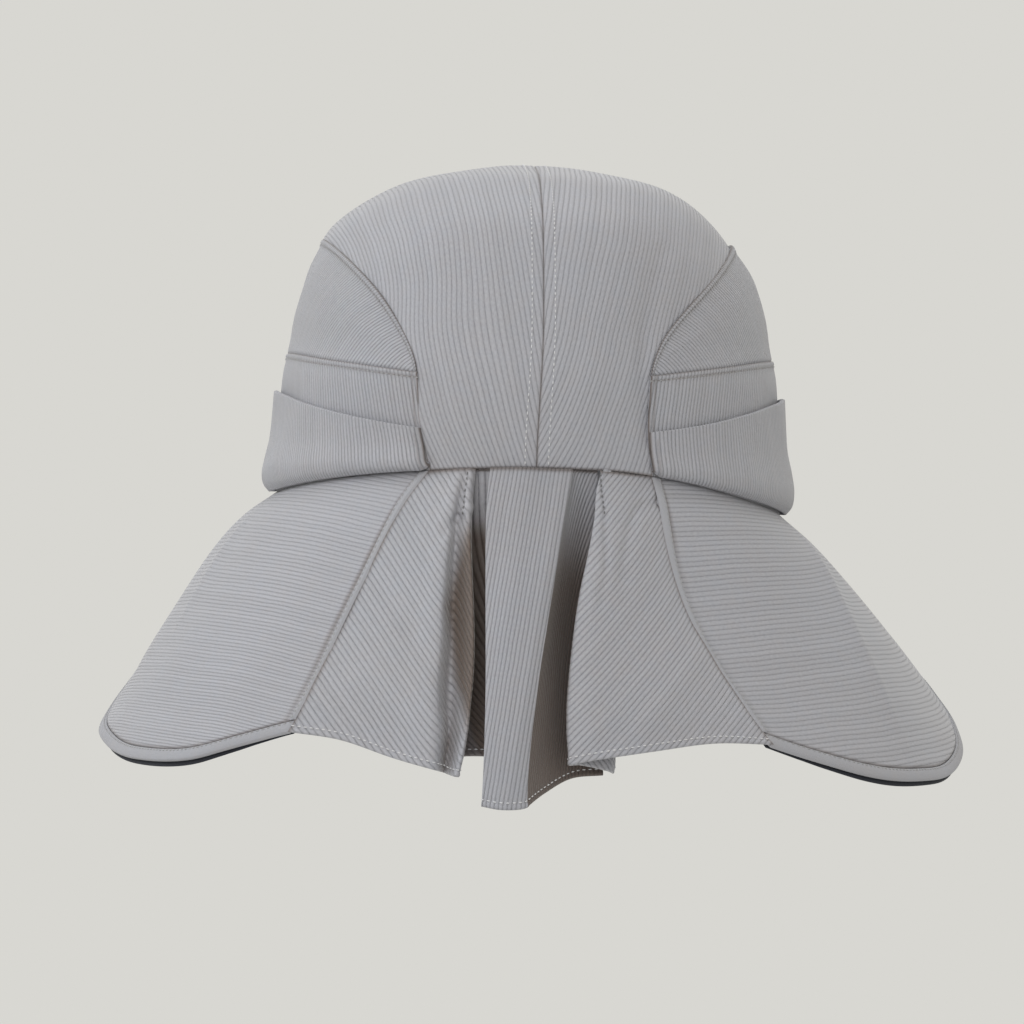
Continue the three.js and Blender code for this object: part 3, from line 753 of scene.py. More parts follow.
def mark_painted_shade(piece, painted_shade):
    """Keeps the painted shade of each place on the mesh, on its outer face alone."""
    layer = piece.data.attributes.new("painted_shade", "FLOAT", "POINT")
    both = np.concatenate([painted_shade.ravel(), painted_shade.ravel() * 0])
    layer.data.foreach_set("value", both.astype(np.float32))


def mirrored(points):
    """The same grid on the wearer's other side, still facing outwards."""
    return points[:, ::-1] * np.array([-1.0, 1.0, 1.0])


def seam_dip(away, wide=0.9, deep=0.55):
    """How far cloth turns in beside a seam."""
    return -deep * bell(away, wide)


def seam_line(away, wide=0.44, dark=0.95):
    """The shade in a seam, where two cloths meet."""
    return dark * bell(away, wide)


def welt(away, wide, high):
    """A raised edge where the cloth lies double, with a groove along its stitches."""
    raised = high * (1 - smooth(wide - 0.4, wide + 0.5, away))
    return raised - 0.5 * bell(away - wide + 0.6, 0.5)


def slanted(across, along, degrees):
    """Weave places turned so that the ribs lean by an angle."""
    angle = degrees * RAD
    return np.stack(
        [
            across * math.cos(angle) - along * math.sin(angle),
            across * math.sin(angle) + along * math.cos(angle),
        ],
        axis=-1,
    )


# Shader groups


def feed(tree, node, values):
    """Gives a node's inputs their numbers, or the outputs that feed them."""
    for name, value in values.items():
        if isinstance(value, bpy.types.NodeSocket):
            tree.links.new(value, node.inputs[name])
        else:
            node.inputs[name].default_value = value


def add(tree, kind, values, **settings):
    """A new node with its settings and its inputs."""
    node = tree.nodes.new(kind)
    for name, value in settings.items():
        setattr(node, name, value)
    feed(tree, node, values)
    return node


def maths(tree, operation, *values):
    """A Math node whose inputs are sockets or numbers; returns its output."""
    return add(tree, "ShaderNodeMath", dict(enumerate(values)), operation=operation).outputs[0]


def noise(tree, vector, scale, detail=2.0, roughness=0.5):
    values = {"Vector": vector, "Scale": scale, "Detail": detail, "Roughness": roughness}
    return add(tree, "ShaderNodeTexNoise", values).outputs["Fac"]


def new_group(name, tree_kind, inputs, outputs):
    """A node group with its sockets: returns its tree, the sockets it is given and its end node."""
    tree = bpy.data.node_groups.new(name, tree_kind)
    for socket_name, kind, value in inputs:
        socket = tree.interface.new_socket(
            name=socket_name, in_out="INPUT", socket_type=f"NodeSocket{kind}"
        )
        if value is not None:
            socket.default_value = value
    for socket_name, kind in outputs:
        tree.interface.new_socket(
            name=socket_name, in_out="OUTPUT", socket_type=f"NodeSocket{kind}"
        )
    given = tree.nodes.new("NodeGroupInput").outputs
    return tree, given, tree.nodes.new("NodeGroupOutput")


def rib_group():
    """Ribs with a thin groove between them, in slightly uneven yarn.

    Puts out Height for a bump, Shade for the colour and Gloss for the roughness.
    """
    tree, given, end = new_group(
        "Ribbed Weave",
        "ShaderNodeTree",
        [
            ("Place", "Vector", None),
            ("Pitch", "Float", 0.0018),
            ("Groove", "Float", 0.35),
            ("Yarn", "Float", 0.55),
        ],
        [("Height", "Float"), ("Shade", "Float"), ("Gloss", "Float")],
    )
    split = add(tree, "ShaderNodeSeparateXYZ", {0: given["Place"]})
    drift = noise(tree, given["Place"], 60.0, 1.0)
    wander = maths(tree, "MULTIPLY", maths(tree, "SUBTRACT", drift, 0.5), 0.0006)
    across = maths(tree, "ADD", split.outputs["X"], wander)
    turns = maths(tree, "DIVIDE", across, given["Pitch"])
    wave = maths(tree, "ABSOLUTE", maths(tree, "SINE", maths(tree, "MULTIPLY", turns, math.pi)))
    ridge = maths(tree, "POWER", wave, 0.5)
    stretch = {"Vector": given["Place"], "Scale": (2200.0, 750.0, 1.0)}
    stretched = add(tree, "ShaderNodeMapping", stretch).outputs["Vector"]
    fine = noise(tree, stretched, 1.0, 2.0, 0.6)
    yarn = maths(tree, "MULTIPLY", maths(tree, "SUBTRACT", fine, 0.5), given["Yarn"])
    number = {"W": maths(tree, "FLOOR", turns)}
    chance = add(tree, "ShaderNodeTexWhiteNoise", number, noise_dimensions="1D")
    uneven = maths(tree, "MULTIPLY", maths(tree, "SUBTRACT", chance.outputs["Value"], 0.5), 0.07)
    dark = maths(tree, "MULTIPLY", maths(tree, "SUBTRACT", ridge, 0.81), given["Groove"])
    tint = maths(tree, "ADD", maths(tree, "ADD", dark, maths(tree, "MULTIPLY", yarn, 0.8)), uneven)
    result = {
        "Height": maths(tree, "ADD", ridge, yarn),
        "Shade": maths(tree, "ADD", tint, 1.0),
        "Gloss": maths(tree, "SUBTRACT", 1.12, maths(tree, "MULTIPLY", ridge, 0.14)),
    }
    feed(tree, end, result)
    return tree


def weave_group():
    """A fine plain weave, for the binding, the welts and the thread."""
    tree, given, end = new_group(
        "Plain Weave",
        "ShaderNodeTree",
        [("Place", "Vector", None), ("Pitch", "Float", 0.0007)],
        [("Height", "Float"), ("Shade", "Float")],
    )
    split = add(tree, "ShaderNodeSeparateXYZ", {0: given["Place"]})
    waves = []
    for axis in ("X", "Y"):
        turns = maths(tree, "DIVIDE", split.outputs[axis], given["Pitch"])
        waves.append(maths(tree, "SINE", maths(tree, "MULTIPLY", turns, 2 * math.pi)))
    weave = maths(tree, "MULTIPLY", waves[0], waves[1])
    fine = maths(tree, "SUBTRACT", noise(tree, given["Place"], 1500.0, 2.0), 0.5)
    height = maths(tree, "ADD", maths(tree, "MULTIPLY", weave, 0.5), fine)
    tint = maths(tree, "ADD", maths(tree, "MULTIPLY", height, 0.1), 1.0)
    feed(tree, end, {"Height": height, "Shade": tint})
    return tree


def tone_group():
    """Slow changes of tone over cloth: a cool and a warm cast, and faint marks of handling.

    Its last input paints shade: it darkens and warms the cloth where it lies in a seam or a fold.
    """
    tree, given, end = new_group(
        "Cloth Tone",
        "ShaderNodeTree",
        [
            ("Colour", "Color", (0.3, 0.3, 0.3, 1.0)),
            ("Shade", "Float", 1.0),
            ("Cool", "Float", 0.05),
            ("Painted Shade", "Float", 0.0),
        ],
        [("Colour", "Color")],
    )
    place = tree.nodes.new("ShaderNodeTexCoord").outputs["Object"]
    broad = maths(tree, "SUBTRACT", noise(tree, place, 22.0, 3.0), 0.5)
    mottle = maths(tree, "SUBTRACT", noise(tree, place, 240.0, 2.0), 0.5)
    cast = maths(tree, "MULTIPLY", maths(tree, "ADD", broad, mottle), given["Cool"])
    tone = maths(tree, "ADD", maths(tree, "MULTIPLY", broad, 0.07), given["Shade"])
    split = add(tree, "ShaderNodeSeparateColor", {0: given["Colour"]})
    warm = maths(tree, "SUBTRACT", tone, cast)
    cool = maths(tree, "ADD", tone, cast)
    channels = {}
    # Painted shade: blue fades most and red least, so the cloth turns warm where it is shaded.
    for channel, factor, fade in (("Red", warm, 0.55), ("Green", tone, 0.62), ("Blue", cool, 0.67)):
        lit = maths(tree, "SUBTRACT", 1.0, maths(tree, "MULTIPLY", given["Painted Shade"], fade))
        dyed = maths(tree, "MULTIPLY", split.outputs[channel], factor)
        channels[channel] = maths(tree, "MULTIPLY", dyed, lit)
    feed(tree, end, {"Colour": add(tree, "ShaderNodeCombineColor", channels).outputs[0]})
    return tree


# Materials


def new_material(name, effect, **values):
    """A cloth material on its own weave places, with the group that shapes its weave."""
    material = bpy.data.materials.new(name)
    material.use_nodes = True
    tree = material.node_tree
    tree.nodes.clear()
    shader = tree.nodes.new("ShaderNodeBsdfPrincipled")
    add(tree, "ShaderNodeOutputMaterial", {"Surface": shader.outputs[0]})
    place = add(tree, "ShaderNodeUVMap", {}, uv_map="weave").outputs["UV"]
    weave = add(tree, "ShaderNodeGroup", {}, node_tree=effect)
    feed(tree, weave, {"Place": place, **values})
    return tree, shader, weave.outputs


def finish_cloth(tree, shader, weave, colour, depth, **values):
    """Gives a cloth its tone and its bump, and returns the tone's node."""
    tone = add(tree, "ShaderNodeGroup", {}, node_tree=GROUPS["tone"])
    feed(tree, tone, {"Colour": (*colour, 1.0), "Shade": weave["Shade"]})
    height = {"Strength": 1.0, "Distance": depth, "Height": weave["Height"]}
    bump = add(tree, "ShaderNodeBump", height)
    shares = {name.replace("_", " "): value for name, value in values.items()}
    feed(tree, shader, {"Base Color": tone.outputs[0], "Normal": bump.outputs[0], **shares})
    return tone


def ribbed_material(name, colour, groove, depth, roughness, sheen):
    """The ribbed cloth, with painted shade that makes it darker and warmer where it lies deep in a fold.
    """
    pitch = bpy.context.scene.hat_size.rib_pitch
    tree, shader, ribs = new_material(name, GROUPS["ribs"], Pitch=pitch, Groove=groove)
    gloss = maths(tree, "MULTIPLY", ribs["Gloss"], roughness)
    tone = finish_cloth(
        tree, shader, ribs, colour, depth, Roughness=gloss, Sheen_Weight=sheen, Specular_IOR_Level=0.5
    )
    shader.inputs["Sheen Roughness"].default_value = 0.35
    # The painted shade that each piece keeps, darkening its tone.
    deep = add(tree, "ShaderNodeAttribute", {}, attribute_name="painted_shade")
    tree.links.new(deep.outputs["Fac"], tone.inputs["Painted Shade"])


def woven_material(name, colour, pitch, depth, roughness, sheen):
    tree, shader, weave = new_material(name, GROUPS["weave"], Pitch=pitch)
    finish_cloth(
        tree,
        shader,
        weave,
        colour,
        depth,
        Roughness=roughness,
        Sheen_Weight=sheen,
        Specular_IOR_Level=0.35,
    )


def hat_materials():
    """The hat's cloths, made once from the colours in the panel."""
    if "ribbed cloth" in bpy.data.materials:
        return bpy.data.materials
    GROUPS.update(ribs=rib_group(), weave=weave_group(), tone=tone_group())
    look = bpy.context.scene.hat_look
    cloth = tuple(look.cloth)
    # A darker copy of the cloth for the centre strip: painted shade, as the strip faces straight back
    # while the gores turn to the sides and catch more light.
    painted_shade_strip_colour = tuple(0.9 * value for value in cloth)
    ribbed_material("ribbed cloth", cloth, look.groove, 0.00024, look.roughness, 0.3)
    ribbed_material("side cloth", cloth, look.groove * 1.6, 0.00034, look.roughness, 0.3)
    ribbed_material("cape cloth", cloth, look.groove * 1.3, 0.00032, look.roughness * 0.85, 0.4)
    ribbed_material("strip cloth", painted_shade_strip_colour, look.groove * 1.1, 0.0003, look.roughness, 0.2)
    woven_material("smooth trim", tuple(look.trim), 0.0008, 0.00006, 0.72, 0.1)
    woven_material("dark lining", tuple(look.lining), 0.0009, 0.00008, 0.85, 0.05)
    for name, share in (("pale thread", 1.0), ("grey thread", 0.55), ("dark thread", 0.25)):
        shade = tuple(share * value for value in look.thread)
        woven_material(name, shade, 0.0003, 0.00004, 0.6, 0.1)
    return bpy.data.materials


# Stitches


def stitch_tree():
    """Geometry nodes that lay a stitch at every pitch along the lines of a mesh."""
    tree, given, end = new_group(
        "Topstitch",
        "GeometryNodeTree",
        [
            ("Geometry", "Geometry", None),
            ("Stitch Length", "Float", 0.0013),
            ("Stitch Gap", "Float", 0.0008),
            ("Thread Radius", "Float", 0.0002),
            ("Thread", "Material", None),
        ],
        [("Geometry", "Geometry")],
    )
    curve = add(tree, "GeometryNodeMeshToCurve", {"Mesh": given["Geometry"]})
    pitch = maths(tree, "ADD", given["Stitch Length"], given["Stitch Gap"])
    along = {"Curve": curve.outputs[0], "Length": pitch}
    spaced = add(tree, "GeometryNodeResampleCurve", along, mode="LENGTH")
    round_ball = {"Segments": 8, "Rings": 5, "Radius": 1.0}
    ball = add(tree, "GeometryNodeMeshUVSphere", round_ball)
    radius = given["Thread Radius"]
    half = maths(tree, "MULTIPLY", given["Stitch Length"], 0.5)
    shape = add(tree, "ShaderNodeCombineXYZ", {"X": radius, "Y": radius, "Z": half})
    drawn = {"Geometry": ball.outputs["Mesh"], "Scale": shape.outputs[0]}
    sized = add(tree, "GeometryNodeTransform", drawn)
    tangent = tree.nodes.new("GeometryNodeInputTangent").outputs[0]
    turned = add(tree, "FunctionNodeAlignRotationToVector", {"Vector": tangent}, axis="Z")
    places = {
        "Points": spaced.outputs["Curve"],
        "Instance": sized.outputs["Geometry"],
        "Rotation": turned.outputs["Rotation"],
    }
    laid = add(tree, "GeometryNodeInstanceOnPoints", places).outputs["Instances"]
    real = add(tree, "GeometryNodeRealizeInstances", {"Geometry": laid}).outputs["Geometry"]
    soft = add(tree, "GeometryNodeSetShadeSmooth", {"Geometry": real}).outputs["Geometry"]
    thread = {"Geometry": soft, "Material": given["Thread"]}
    dyed = add(tree, "GeometryNodeSetMaterial", thread)
    feed(tree, end, {"Geometry": dyed.outputs["Geometry"]})
    return tree


def stitch_piece(name, lines, material):
    """Sews topstitches along lines, each an array of places in millimetres."""
    size = bpy.context.scene.hat_size
    tree = bpy.data.node_groups.get("Topstitch") or stitch_tree()
    inputs = [item for item in tree.interface.items_tree if item.in_out == "INPUT"]
    names = {item.name: item.identifier for item in inputs}
    vertices = np.concatenate(lines) * MM
    edges = []
    first = 0
    for line in lines:
        edges += [(first + i, first + i + 1) for i in range(len(line) - 1)]
        first += len(line)
    path = bpy.data.meshes.new(name + "_path")
    path.from_pydata(vertices.tolist(), edges, [])
    holder = bpy.data.objects.new(name + "_path", path)
    bpy.context.scene.collection.objects.link(holder)
    modifier = holder.modifiers.new("Topstitch", "NODES")
    modifier.node_group = tree
    modifier[names["Stitch Length"]] = size.stitch_length
    modifier[names["Stitch Gap"]] = size.stitch_gap
    modifier[names["Thread Radius"]] = size.thread_radius
    modifier[names["Thread"]] = material
    bpy.context.view_layer.update()
    sewn = holder.evaluated_get(bpy.context.evaluated_depsgraph_get())
    mesh = bpy.data.meshes.new_from_object(sewn)
    mesh.name = name
    holder.modifiers.remove(modifier)
    bpy.data.objects.remove(holder)
    if len(mesh.polygons) == 0:
        raise RuntimeError(f"{name}: no stitch was laid")
    place_piece(name, mesh)


def line_on(points, outer, away, axis, last=False, lift=0.12, skip=3):
    """A line on a wall's outer face at a distance from one of the grid's edges."""
    across, back, up, down = edge_runs(points)
    runs = {(0, False): across, (0, True): back, (1, False): up, (1, True): down}[(axis, last)]
    face = points + normals(points) * (np.broadcast_to(outer, points.shape[:2])[..., None] + lift)
    if axis == 1:
        face = np.swapaxes(face, 0, 1)
        runs = runs.T
    if last:
        face = face[:, ::-1]
        runs = runs[:, ::-1]
    line = []
    for row in range(skip, len(face) - skip):
        if runs[row, -1] < 2.2 * away:
            continue
        line.append([np.interp(away, runs[row], face[row, :, k]) for k in range(3)])
    return np.array(line)


def line_through(points, outer, places):
    """A line on a wall's outer face through places seen from behind, across and up."""
    face = (points + normals(points) * (outer[..., None] + 0.1)).reshape(-1, 3)
    places = np.array(places)
    at = np.linspace(0, len(places) - 1, 13)
    line = []
    for x, z in zip(*(np.interp(at, np.arange(len(places)), places[:, k]) for k in (0, 1))):
        near = np.argsort(np.hypot(face[:, 0] - x, face[:, 2] - z))[:8]
        line.append((x, face[near, 1].min(), z))
    return np.array(line)


# Settings


def length_setting(name, description, default):
    return bpy.props.FloatProperty(
        name=name, description=description, default=default, unit="LENGTH"
    )


def share_setting(name, description, default):
    return bpy.props.FloatProperty(
        name=name, description=description, default=default, min=0.0, max=1.0, subtype="FACTOR"
    )


def colour_setting(name, description, default):
    return bpy.props.FloatVectorProperty(
        name=name, description=description, default=default, min=0.0, max=1.0, subtype="COLOR"
    )


class HatSizes(bpy.types.PropertyGroup):
    rib_pitch: length_setting("Rib Pitch", "Distance from one rib of the cloth to the next", 0.00178)
    stitch_length: length_setting("Stitch Length", "Thread that shows in each topstitch", 0.00125)
    stitch_gap: length_setting("Stitch Gap", "Distance from one topstitch to the next", 0.00085)
    thread_radius: length_setting("Thread Radius", "Half the thickness of the thread", 0.00023)
    softness: length_setting("Softness", "Height of the slow waves in the cloth", 0.00045)


class HatLook(bpy.types.PropertyGroup):
    cloth: colour_setting("Cloth", "Colour of the ribbed cloth", (0.334, 0.334, 0.362))
    trim: colour_setting("Trim", "Colour of the binding and the welts", (0.33, 0.331, 0.356))
    lining: colour_setting("Lining", "Colour of the brim's under-layer", (0.018, 0.02, 0.028))
    thread: colour_setting("Thread", "Colour of the sewing thread", (0.58, 0.58, 0.59))
    groove: share_setting("Groove", "How much darker the cloth is between its ribs", 0.27)
    roughness: share_setting("Roughness", "How matt the ribbed cloth is", 0.58)


# Operators


class HAT_OT_crown(bpy.types.Operator):
    """Sew the crown's centre panels, half-moon panels and lower side pieces"""

    bl_idname = "hat.crown"
    bl_label = "Crown"

    def execute(self, context):
        cloths = hat_materials()
        waves = context.scene.hat_size.softness / MM
        makers = {
            "crown_panel": (crown_panel_points, 64, 150, self.centre_panel),
            "side_panel": (side_panel_points, 130, 96, self.half_moon),
            "side_inset": (side_inset_points, 130, 90, self.lower_piece),
        }
        for number, (name, (points_at, columns, rows, dress)) in enumerate(makers.items()):
            us = shares(columns, 150.0, CROWN_WALL)
            if name == "side_inset":
                us = with_close_ends(us, 190.0)
            vs = shares(rows, 60.0 if rows < 100 else 400.0, CROWN_WALL)
            cloth = cloths["ribbed cloth" if number == 0 else "side cloth"]
            for hand in ("right", "left"):
                right = points_at(us, vs)
                points = settled(pulled(right if hand == "right" else mirrored(right)))
                lift, weave, seams = dress(right, hand)
                if hand == "left":
                    lift, weave, seams = (values[:, ::-1] for values in (lift, weave, seams))
                lift = lift + soft_waves(points, 46.0, waves, number)
                if name == "crown_panel":
                    lift = lift + creases(points, CROWN_CREASES) + self.seam_pucker(points)
                faces = (lift, lift - CROWN_WALL)
                sew_wall(f"{name}_{hand}", points, faces, weave, cloth, seams)
        return {"FINISHED"}

    def centre_panel(self, points, hand):
        centre, edge, rear, front = edge_runs(points)
        run = run_length(points[:, :1], 0)
        below_top = CROWN_HEIGHT - points[..., 2]
        fan = 0.2 if hand == "right" else 0.1
        lean = 0.17 * below_top + fan * np.maximum(below_top - 60, 0) ** 2 / 50
        weave = np.stack([centre + lean, run + 0 * centre], axis=-1)
        puff = 0.5 * smooth(0, 22, np.minimum(centre, edge))
        seams = seam_line(np.minimum(np.minimum(centre, edge), np.minimum(rear, front)))
        return seam_dip(centre, 0.6, 0.4) + seam_dip(edge, 0.5, 0.45) + puff, weave, seams

    def seam_pucker(self, points):
        """The small rise of the cloth beside the centre seam, just past the top."""
        x, y, z = np.moveaxis(points, -1, 0)
        return 1.7 * bell(x + 9.5, 7.5) * bell(y - 12.0, 15.0) * (z > 60)

    def half_moon(self, points, hand):
        ahead, _, low, high = edge_runs(points)
        weave = slanted(ahead, -points[..., 2], 30.0) * 1.15
        puff = 0.9 * smooth(2, 16, np.minimum(low, high))
        seams = np.maximum(self.sunk_stitches(high, 2.3), seam_line(low))
        return welt(high, 2.9, 0.6) + seam_dip(low) + seam_dip(high, 0.5, 0.3) + puff, weave, seams

    def lower_piece(self, points, hand):
        ahead, behind, _, high = edge_runs(points)
        weave = slanted(ahead, points[..., 2], 6.0) * 1.15
        sink = -0.5 * smooth(3, 14, high)
        ends = np.minimum(ahead, behind)
        seams = np.maximum(self.sunk_stitches(high, 2.0), self.sunk_stitches(ends, 2.0))
        strips = welt(high, 2.6, 0.6) + welt(ends, 2.6, 0.5)
        return strips + seam_dip(high, 0.5, 0.3) + sink, weave, seams

    def sunk_stitches(self, away, at):
        """The shade along a row of stitches and in the seam beside it."""
        return 0.8 * bell(away - at, 0.3) + seam_line(away)


class HAT_OT_bands(bpy.types.Operator):
    """Fold the side bands with their free top edge and full foot"""

    bl_idname = "hat.bands"
    bl_label = "Side Bands"

    def execute(self, context):
        cloth = hat_materials()["side cloth"]
        us = with_close_ends(shares(140, 190.0, BAND_WALL), 190.0)
        vs = shares(44, 36.0, BAND_WALL)
        for number, hand in enumerate(("right", "left")):
            points = side_band_points(us, vs)
            if hand == "left":
                points = mirrored(points)
            points = settled(pulled(points))
            ahead, behind, low, high = edge_runs(points)
            ends = np.minimum(ahead, behind)
            loose = smooth(2, 14, ends)
            tucks = 0.28 * np.sin(ahead * 0.55 + low * 0.5) * np.exp(-ends / 9) * smooth(0, 6, ends)
            droop = 0.35 * soft_waves(points, 26.0, 1.0, 20 + number) * loose * smooth(-2, 12, low)
            lift = np.maximum(droop + tucks, -0.25) + seam_dip(ends, 1.5, 1.5)
            across = ahead if hand == "right" else -behind
            weave = np.stack([across, points[..., 2]], axis=-1) * 1.15
            # Painted shade along the sunk row of stitches near each end of the band.
            painted_stitch_shade = 0.6 * bell(ends - 2.2, 0.3) * smooth(1, 4, high)
            seams = np.maximum(seam_line(ends, 0.6), painted_stitch_shade)
            sew_wall(f"side_band_{hand}", points, (lift, lift - BAND_WALL), weave, cloth, seams)
        return {"FINISHED"}


class HAT_OT_brim(bpy.types.Operator):
    """Sew the brim, its dark under-layer, its binding and the welts on its rear seams"""

    bl_idname = "hat.brim"
    bl_label = "Brim"

    def execute(self, context):
        cloths = hat_materials()
        self.cloth(cloths["ribbed cloth"])
        self.lining(cloths["dark lining"])
        self.binding(cloths["smooth trim"])
        for side in (1, -1):
            self.welt_strip(side, cloths["smooth trim"])
        return {"FINISHED"}

    def hang(self, points, turn, along):
        """The soft waves of the whole brim, the same for all its layers."""
        reach_out = along**1.5 * smooth(0.0, 0.12, np.minimum(turn, 2 - turn))
        waves = soft_waves(points, 95.0, 0.9, 40) * reach_out + soft_waves(points, 40.0, 0.35, 41) * along
        left = turn - LEFT_CREST_TURN
        right = turn - RIGHT_CREST_TURN - RIGHT_CREST_SWEEP * np.exp(-along / 0.28)
        for away, high, fade in ((left, LEFT_CREST, 0.3), (right, RIGHT_CREST, 0.6)):
            crest = high * np.exp(-np.hypot(away, 0.004) / CREST_WIDTH)
            waves = waves + crest * smooth(0.03, 0.3, along) * (1 - smooth(fade, fade + 0.4, along))
        full = bell(turn - 1.56, 0.18) * np.sin(np.minimum(along / 0.8, 1) * math.pi)
        return waves + LEFT_FULLNESS * full

    def cloth(self, material):
        us = shares(380, 700.0, BRIM_WALL)
        vs = shares(60, 100.0, BRIM_WALL)
        points, turn, along = brim_grid(us, vs, -BINDING_WIDTH - 0.12, 0.0)
        start, end, rim, root = edge_runs(points)
        behind = np.minimum(start, end)
        left = smooth(0.8, 1.2, turn)
        lean = mix(0.16, 0.275, left) * behind * bell(behind, 150)
        closer = 0.0028 * root**2 * smooth(1.1, 1.7, turn)
        weave = np.stack([root + lean + closer, start], axis=-1) * mix(0.965, 0.945, left)[..., None]
        lift = self.hang(points, turn, along) + seam_dip(behind, 0.7, 0.45)
        edges = np.minimum(np.abs(behind - WELT_WIDTH), np.minimum(rim, root))
        seams = seam_line(edges, 0.55, 0.8)
        sew_wall("brim", points, (lift, lift - BRIM_WALL), weave, material, seams)

    def lining(self, material):
        us = shares(260, 700.0, LINING_WALL)
        vs = shares(30, 100.0, LINING_WALL)
        turn = mix(SEAM_SHARE, 2 - SEAM_SHARE, us)
        show = read_table(LINING_SHOW, "turn", "show", np.minimum(turn, 2 - turn)) * LINING_PEEK
        points, turn, along = brim_grid(us, vs, show - 2 * LAYER_GAP, LINING_TOP)
        under = (BRIM_WALL + BINDING_WALL) / 2 + LAYER_GAP
        lift = self.hang(points, turn, along) - under
        start, _, _, root = edge_runs(points)
        weave = np.stack([root, start], axis=-1)
        faces = (lift, lift - LINING_WALL)
        sew_wall("brim_lining", points, faces, weave, material, cloth="brim_under_layer")

    def binding(self, material):
        us = shares(520, 780.0, BINDING_WALL)
        vs = shares(12, BINDING_WIDTH, 0.2)
        points, turn, along = brim_grid(us, vs, 0.0)
        start, _, low, high = edge_runs(points)
        share = low / (low + high)
        half = BINDING_WALL / 2 * (0.42 + 0.58 * np.sqrt(np.clip(np.sin(share * math.pi), 0, 1)))
        pucker = 0.05 * np.sin(start * 2 * math.pi / 2.1) * bell(high - 0.8, 0.6)
        centre = self.hang(points, turn, along) - BRIM_WALL / 2
        weave = np.stack([low, start], axis=-1)
        sew_wall("brim_binding", points, (centre + half + pucker, centre - half), weave, material)
        SEWN["brim_binding"] = (points, centre + half)

    def welt_strip(self, side, material):
        us = shares(10, WELT_WIDTH, 0.3)
        vs = shares(90, 95.0, WELT_WALL)
        u, v = np.meshgrid(us, vs)
        along = mix(0.955, 0.01, v)
        width = WELT_WIDTH / (plan_radius(FOOT_TURN) + along * BRIM_BACK) / (math.pi - FOOT_TURN)
        place = mix(SEAM_SHARE, width, u) if side > 0 else 2 - mix(width, SEAM_SHARE, u)
        points = settled(brim_point(place, along))
        across, back, _, _ = edge_runs(points)
        out = across if side > 0 else back
        crown = WELT_WALL * (0.35 + 0.65 * smooth(0, 0.9, np.minimum(across, back)))
        lift = self.hang(points, place, along) + crown + 0.05
        lift += 0.05 * np.sin(v * 200) * smooth(0.4, 1.2, out)
        weave = np.stack([across, run_length(points, 0)], axis=-1)
        hand = "right" if side > 0 else "left"
        sew_wall(f"brim_welt_{hand}", points, (lift, 0.02), weave, material)


class HAT_OT_cape(bpy.types.Operator):
    """Hang the pleated neck cape: two gores and the centre strip"""

    bl_idname = "hat.cape"
    bl_label = "Neck Cape"

    def execute(self, context):
        cloths = hat_materials()
        pieces = {
            "cape_left": (LEFT_GORE, -1, cloths["cape cloth"]),
            "cape_centre": (CENTRE_STRIP, 0, cloths["strip cloth"]),
            "cape_right": (RIGHT_GORE, 1, cloths["cape cloth"]),
        }
        hung = {}
        for number, (name, (folds, side, material)) in enumerate(pieces.items()):
            us = shares(24 * len(folds), 80.0, CAPE_WALL)
            vs = shares(110, 95.0, CAPE_WALL)
            points = cape_points(folds, side, us, vs)
            if side > 0:
                points = self.opened(points)
            start, end, hem, _ = edge_runs(points)
            height = points[..., 2]
            if side > 0:
                place = points[:, -1:, 0] - end
            else:
                place = points[:, :1, 0] + start
            lean, closeness = {-1: (39.0, 0.95), 0: (-10.0, 1.3), 1: (-44.0, 1.1)}[side]
            weave = slanted(place, -height, lean) * closeness
            lift = welt(hem, 2.9, 0.35) + soft_waves(points, 34.0, 0.3, 60 + number) * smooth(0, 12, hem)
            lift = lift + creases(points, GORE_CREASES) * (side != 0)
            half = CAPE_WALL / 2
            piece = sew_wall(name, points, (lift + half, lift - half), weave, material)
            foot = bottom_seam(np.arctan2(points[..., 0], -points[..., 1]))
            seams = seam_line(np.maximum(foot - height - 0.4, 0), 0.7)
            if side:
                seams = np.maximum(seams, seam_line(end if side > 0 else start, 1.0))
            hung[piece] = (points, lift + half, seams)
        self.shade(hung)
        return {"FINISHED"}

    def shade(self, hung):
        """Marks painted shade on the whole cape: how deep each place lies in its folds, more on the
        centre strip's turned side and in the left gore's valley.
        """
        vertices = []
        faces = []
        for piece in hung:
            first = len(vertices)
            vertices += [vertex.co / MM for vertex in piece.data.vertices]
            faces += [[first + i for i in face.vertices] for face in piece.data.polygons]
        cape = BVHTree.FromPolygons(vertices, faces)
        for piece, (points, lift, seams) in hung.items():
            shade = painted_fold_shade(points, lift, cape)
            if piece.name.startswith("cape_centre"):
                # Painted shade on the centre strip's side that turns away past its fold, out of the
                # light.
                below = -points[..., 2] / CAPE_DROP
                place = np.linspace(0, 1, points.shape[1])
                sideways = np.abs(normals(points)[..., 0]) * (place > 0.45)
                back = np.maximum(smooth(0.565, 0.6, place), smooth(0.3, 0.6, sideways))
                shade = np.maximum(1.1 * shade, 1.3 * back * smooth(0.0, 0.3, below))
            if piece.name.startswith("cape_left"):
                # Painted shade in the left gore's valley, from the valley's edge in the table.
                valley = np.interp(-points[..., 2], *zip(*LEFT_VALLEY_PAINTED_SHADE))
                inside = smooth(0, 6, points[..., 0] - valley) * smooth(2, 14, -points[..., 2])
                shade = np.maximum(shade, 1.35 * inside)
            mark_painted_shade(piece, np.maximum(0.88 * shade, seams))

    def opened(self, points):
        """The right gore's inner fold drawn aside below its dart."""
        x, z = points[..., 0], points[..., 2]
        aside = 1.7 * bell(z + 17, 20) * (1 - smooth(20, 46, x)) * smooth(5, -6, z)
        return points + np.stack([aside, 0 * aside, 0 * aside], axis=-1)

    def area(self, points):
        """The area of the cloth in square metres."""
        across = np.diff(points, axis=1)[:-1]
        down = np.diff(points, axis=0)[:, :-1]
        return float(np.linalg.norm(np.cross(across, down), axis=-1).sum()) * MM * MM


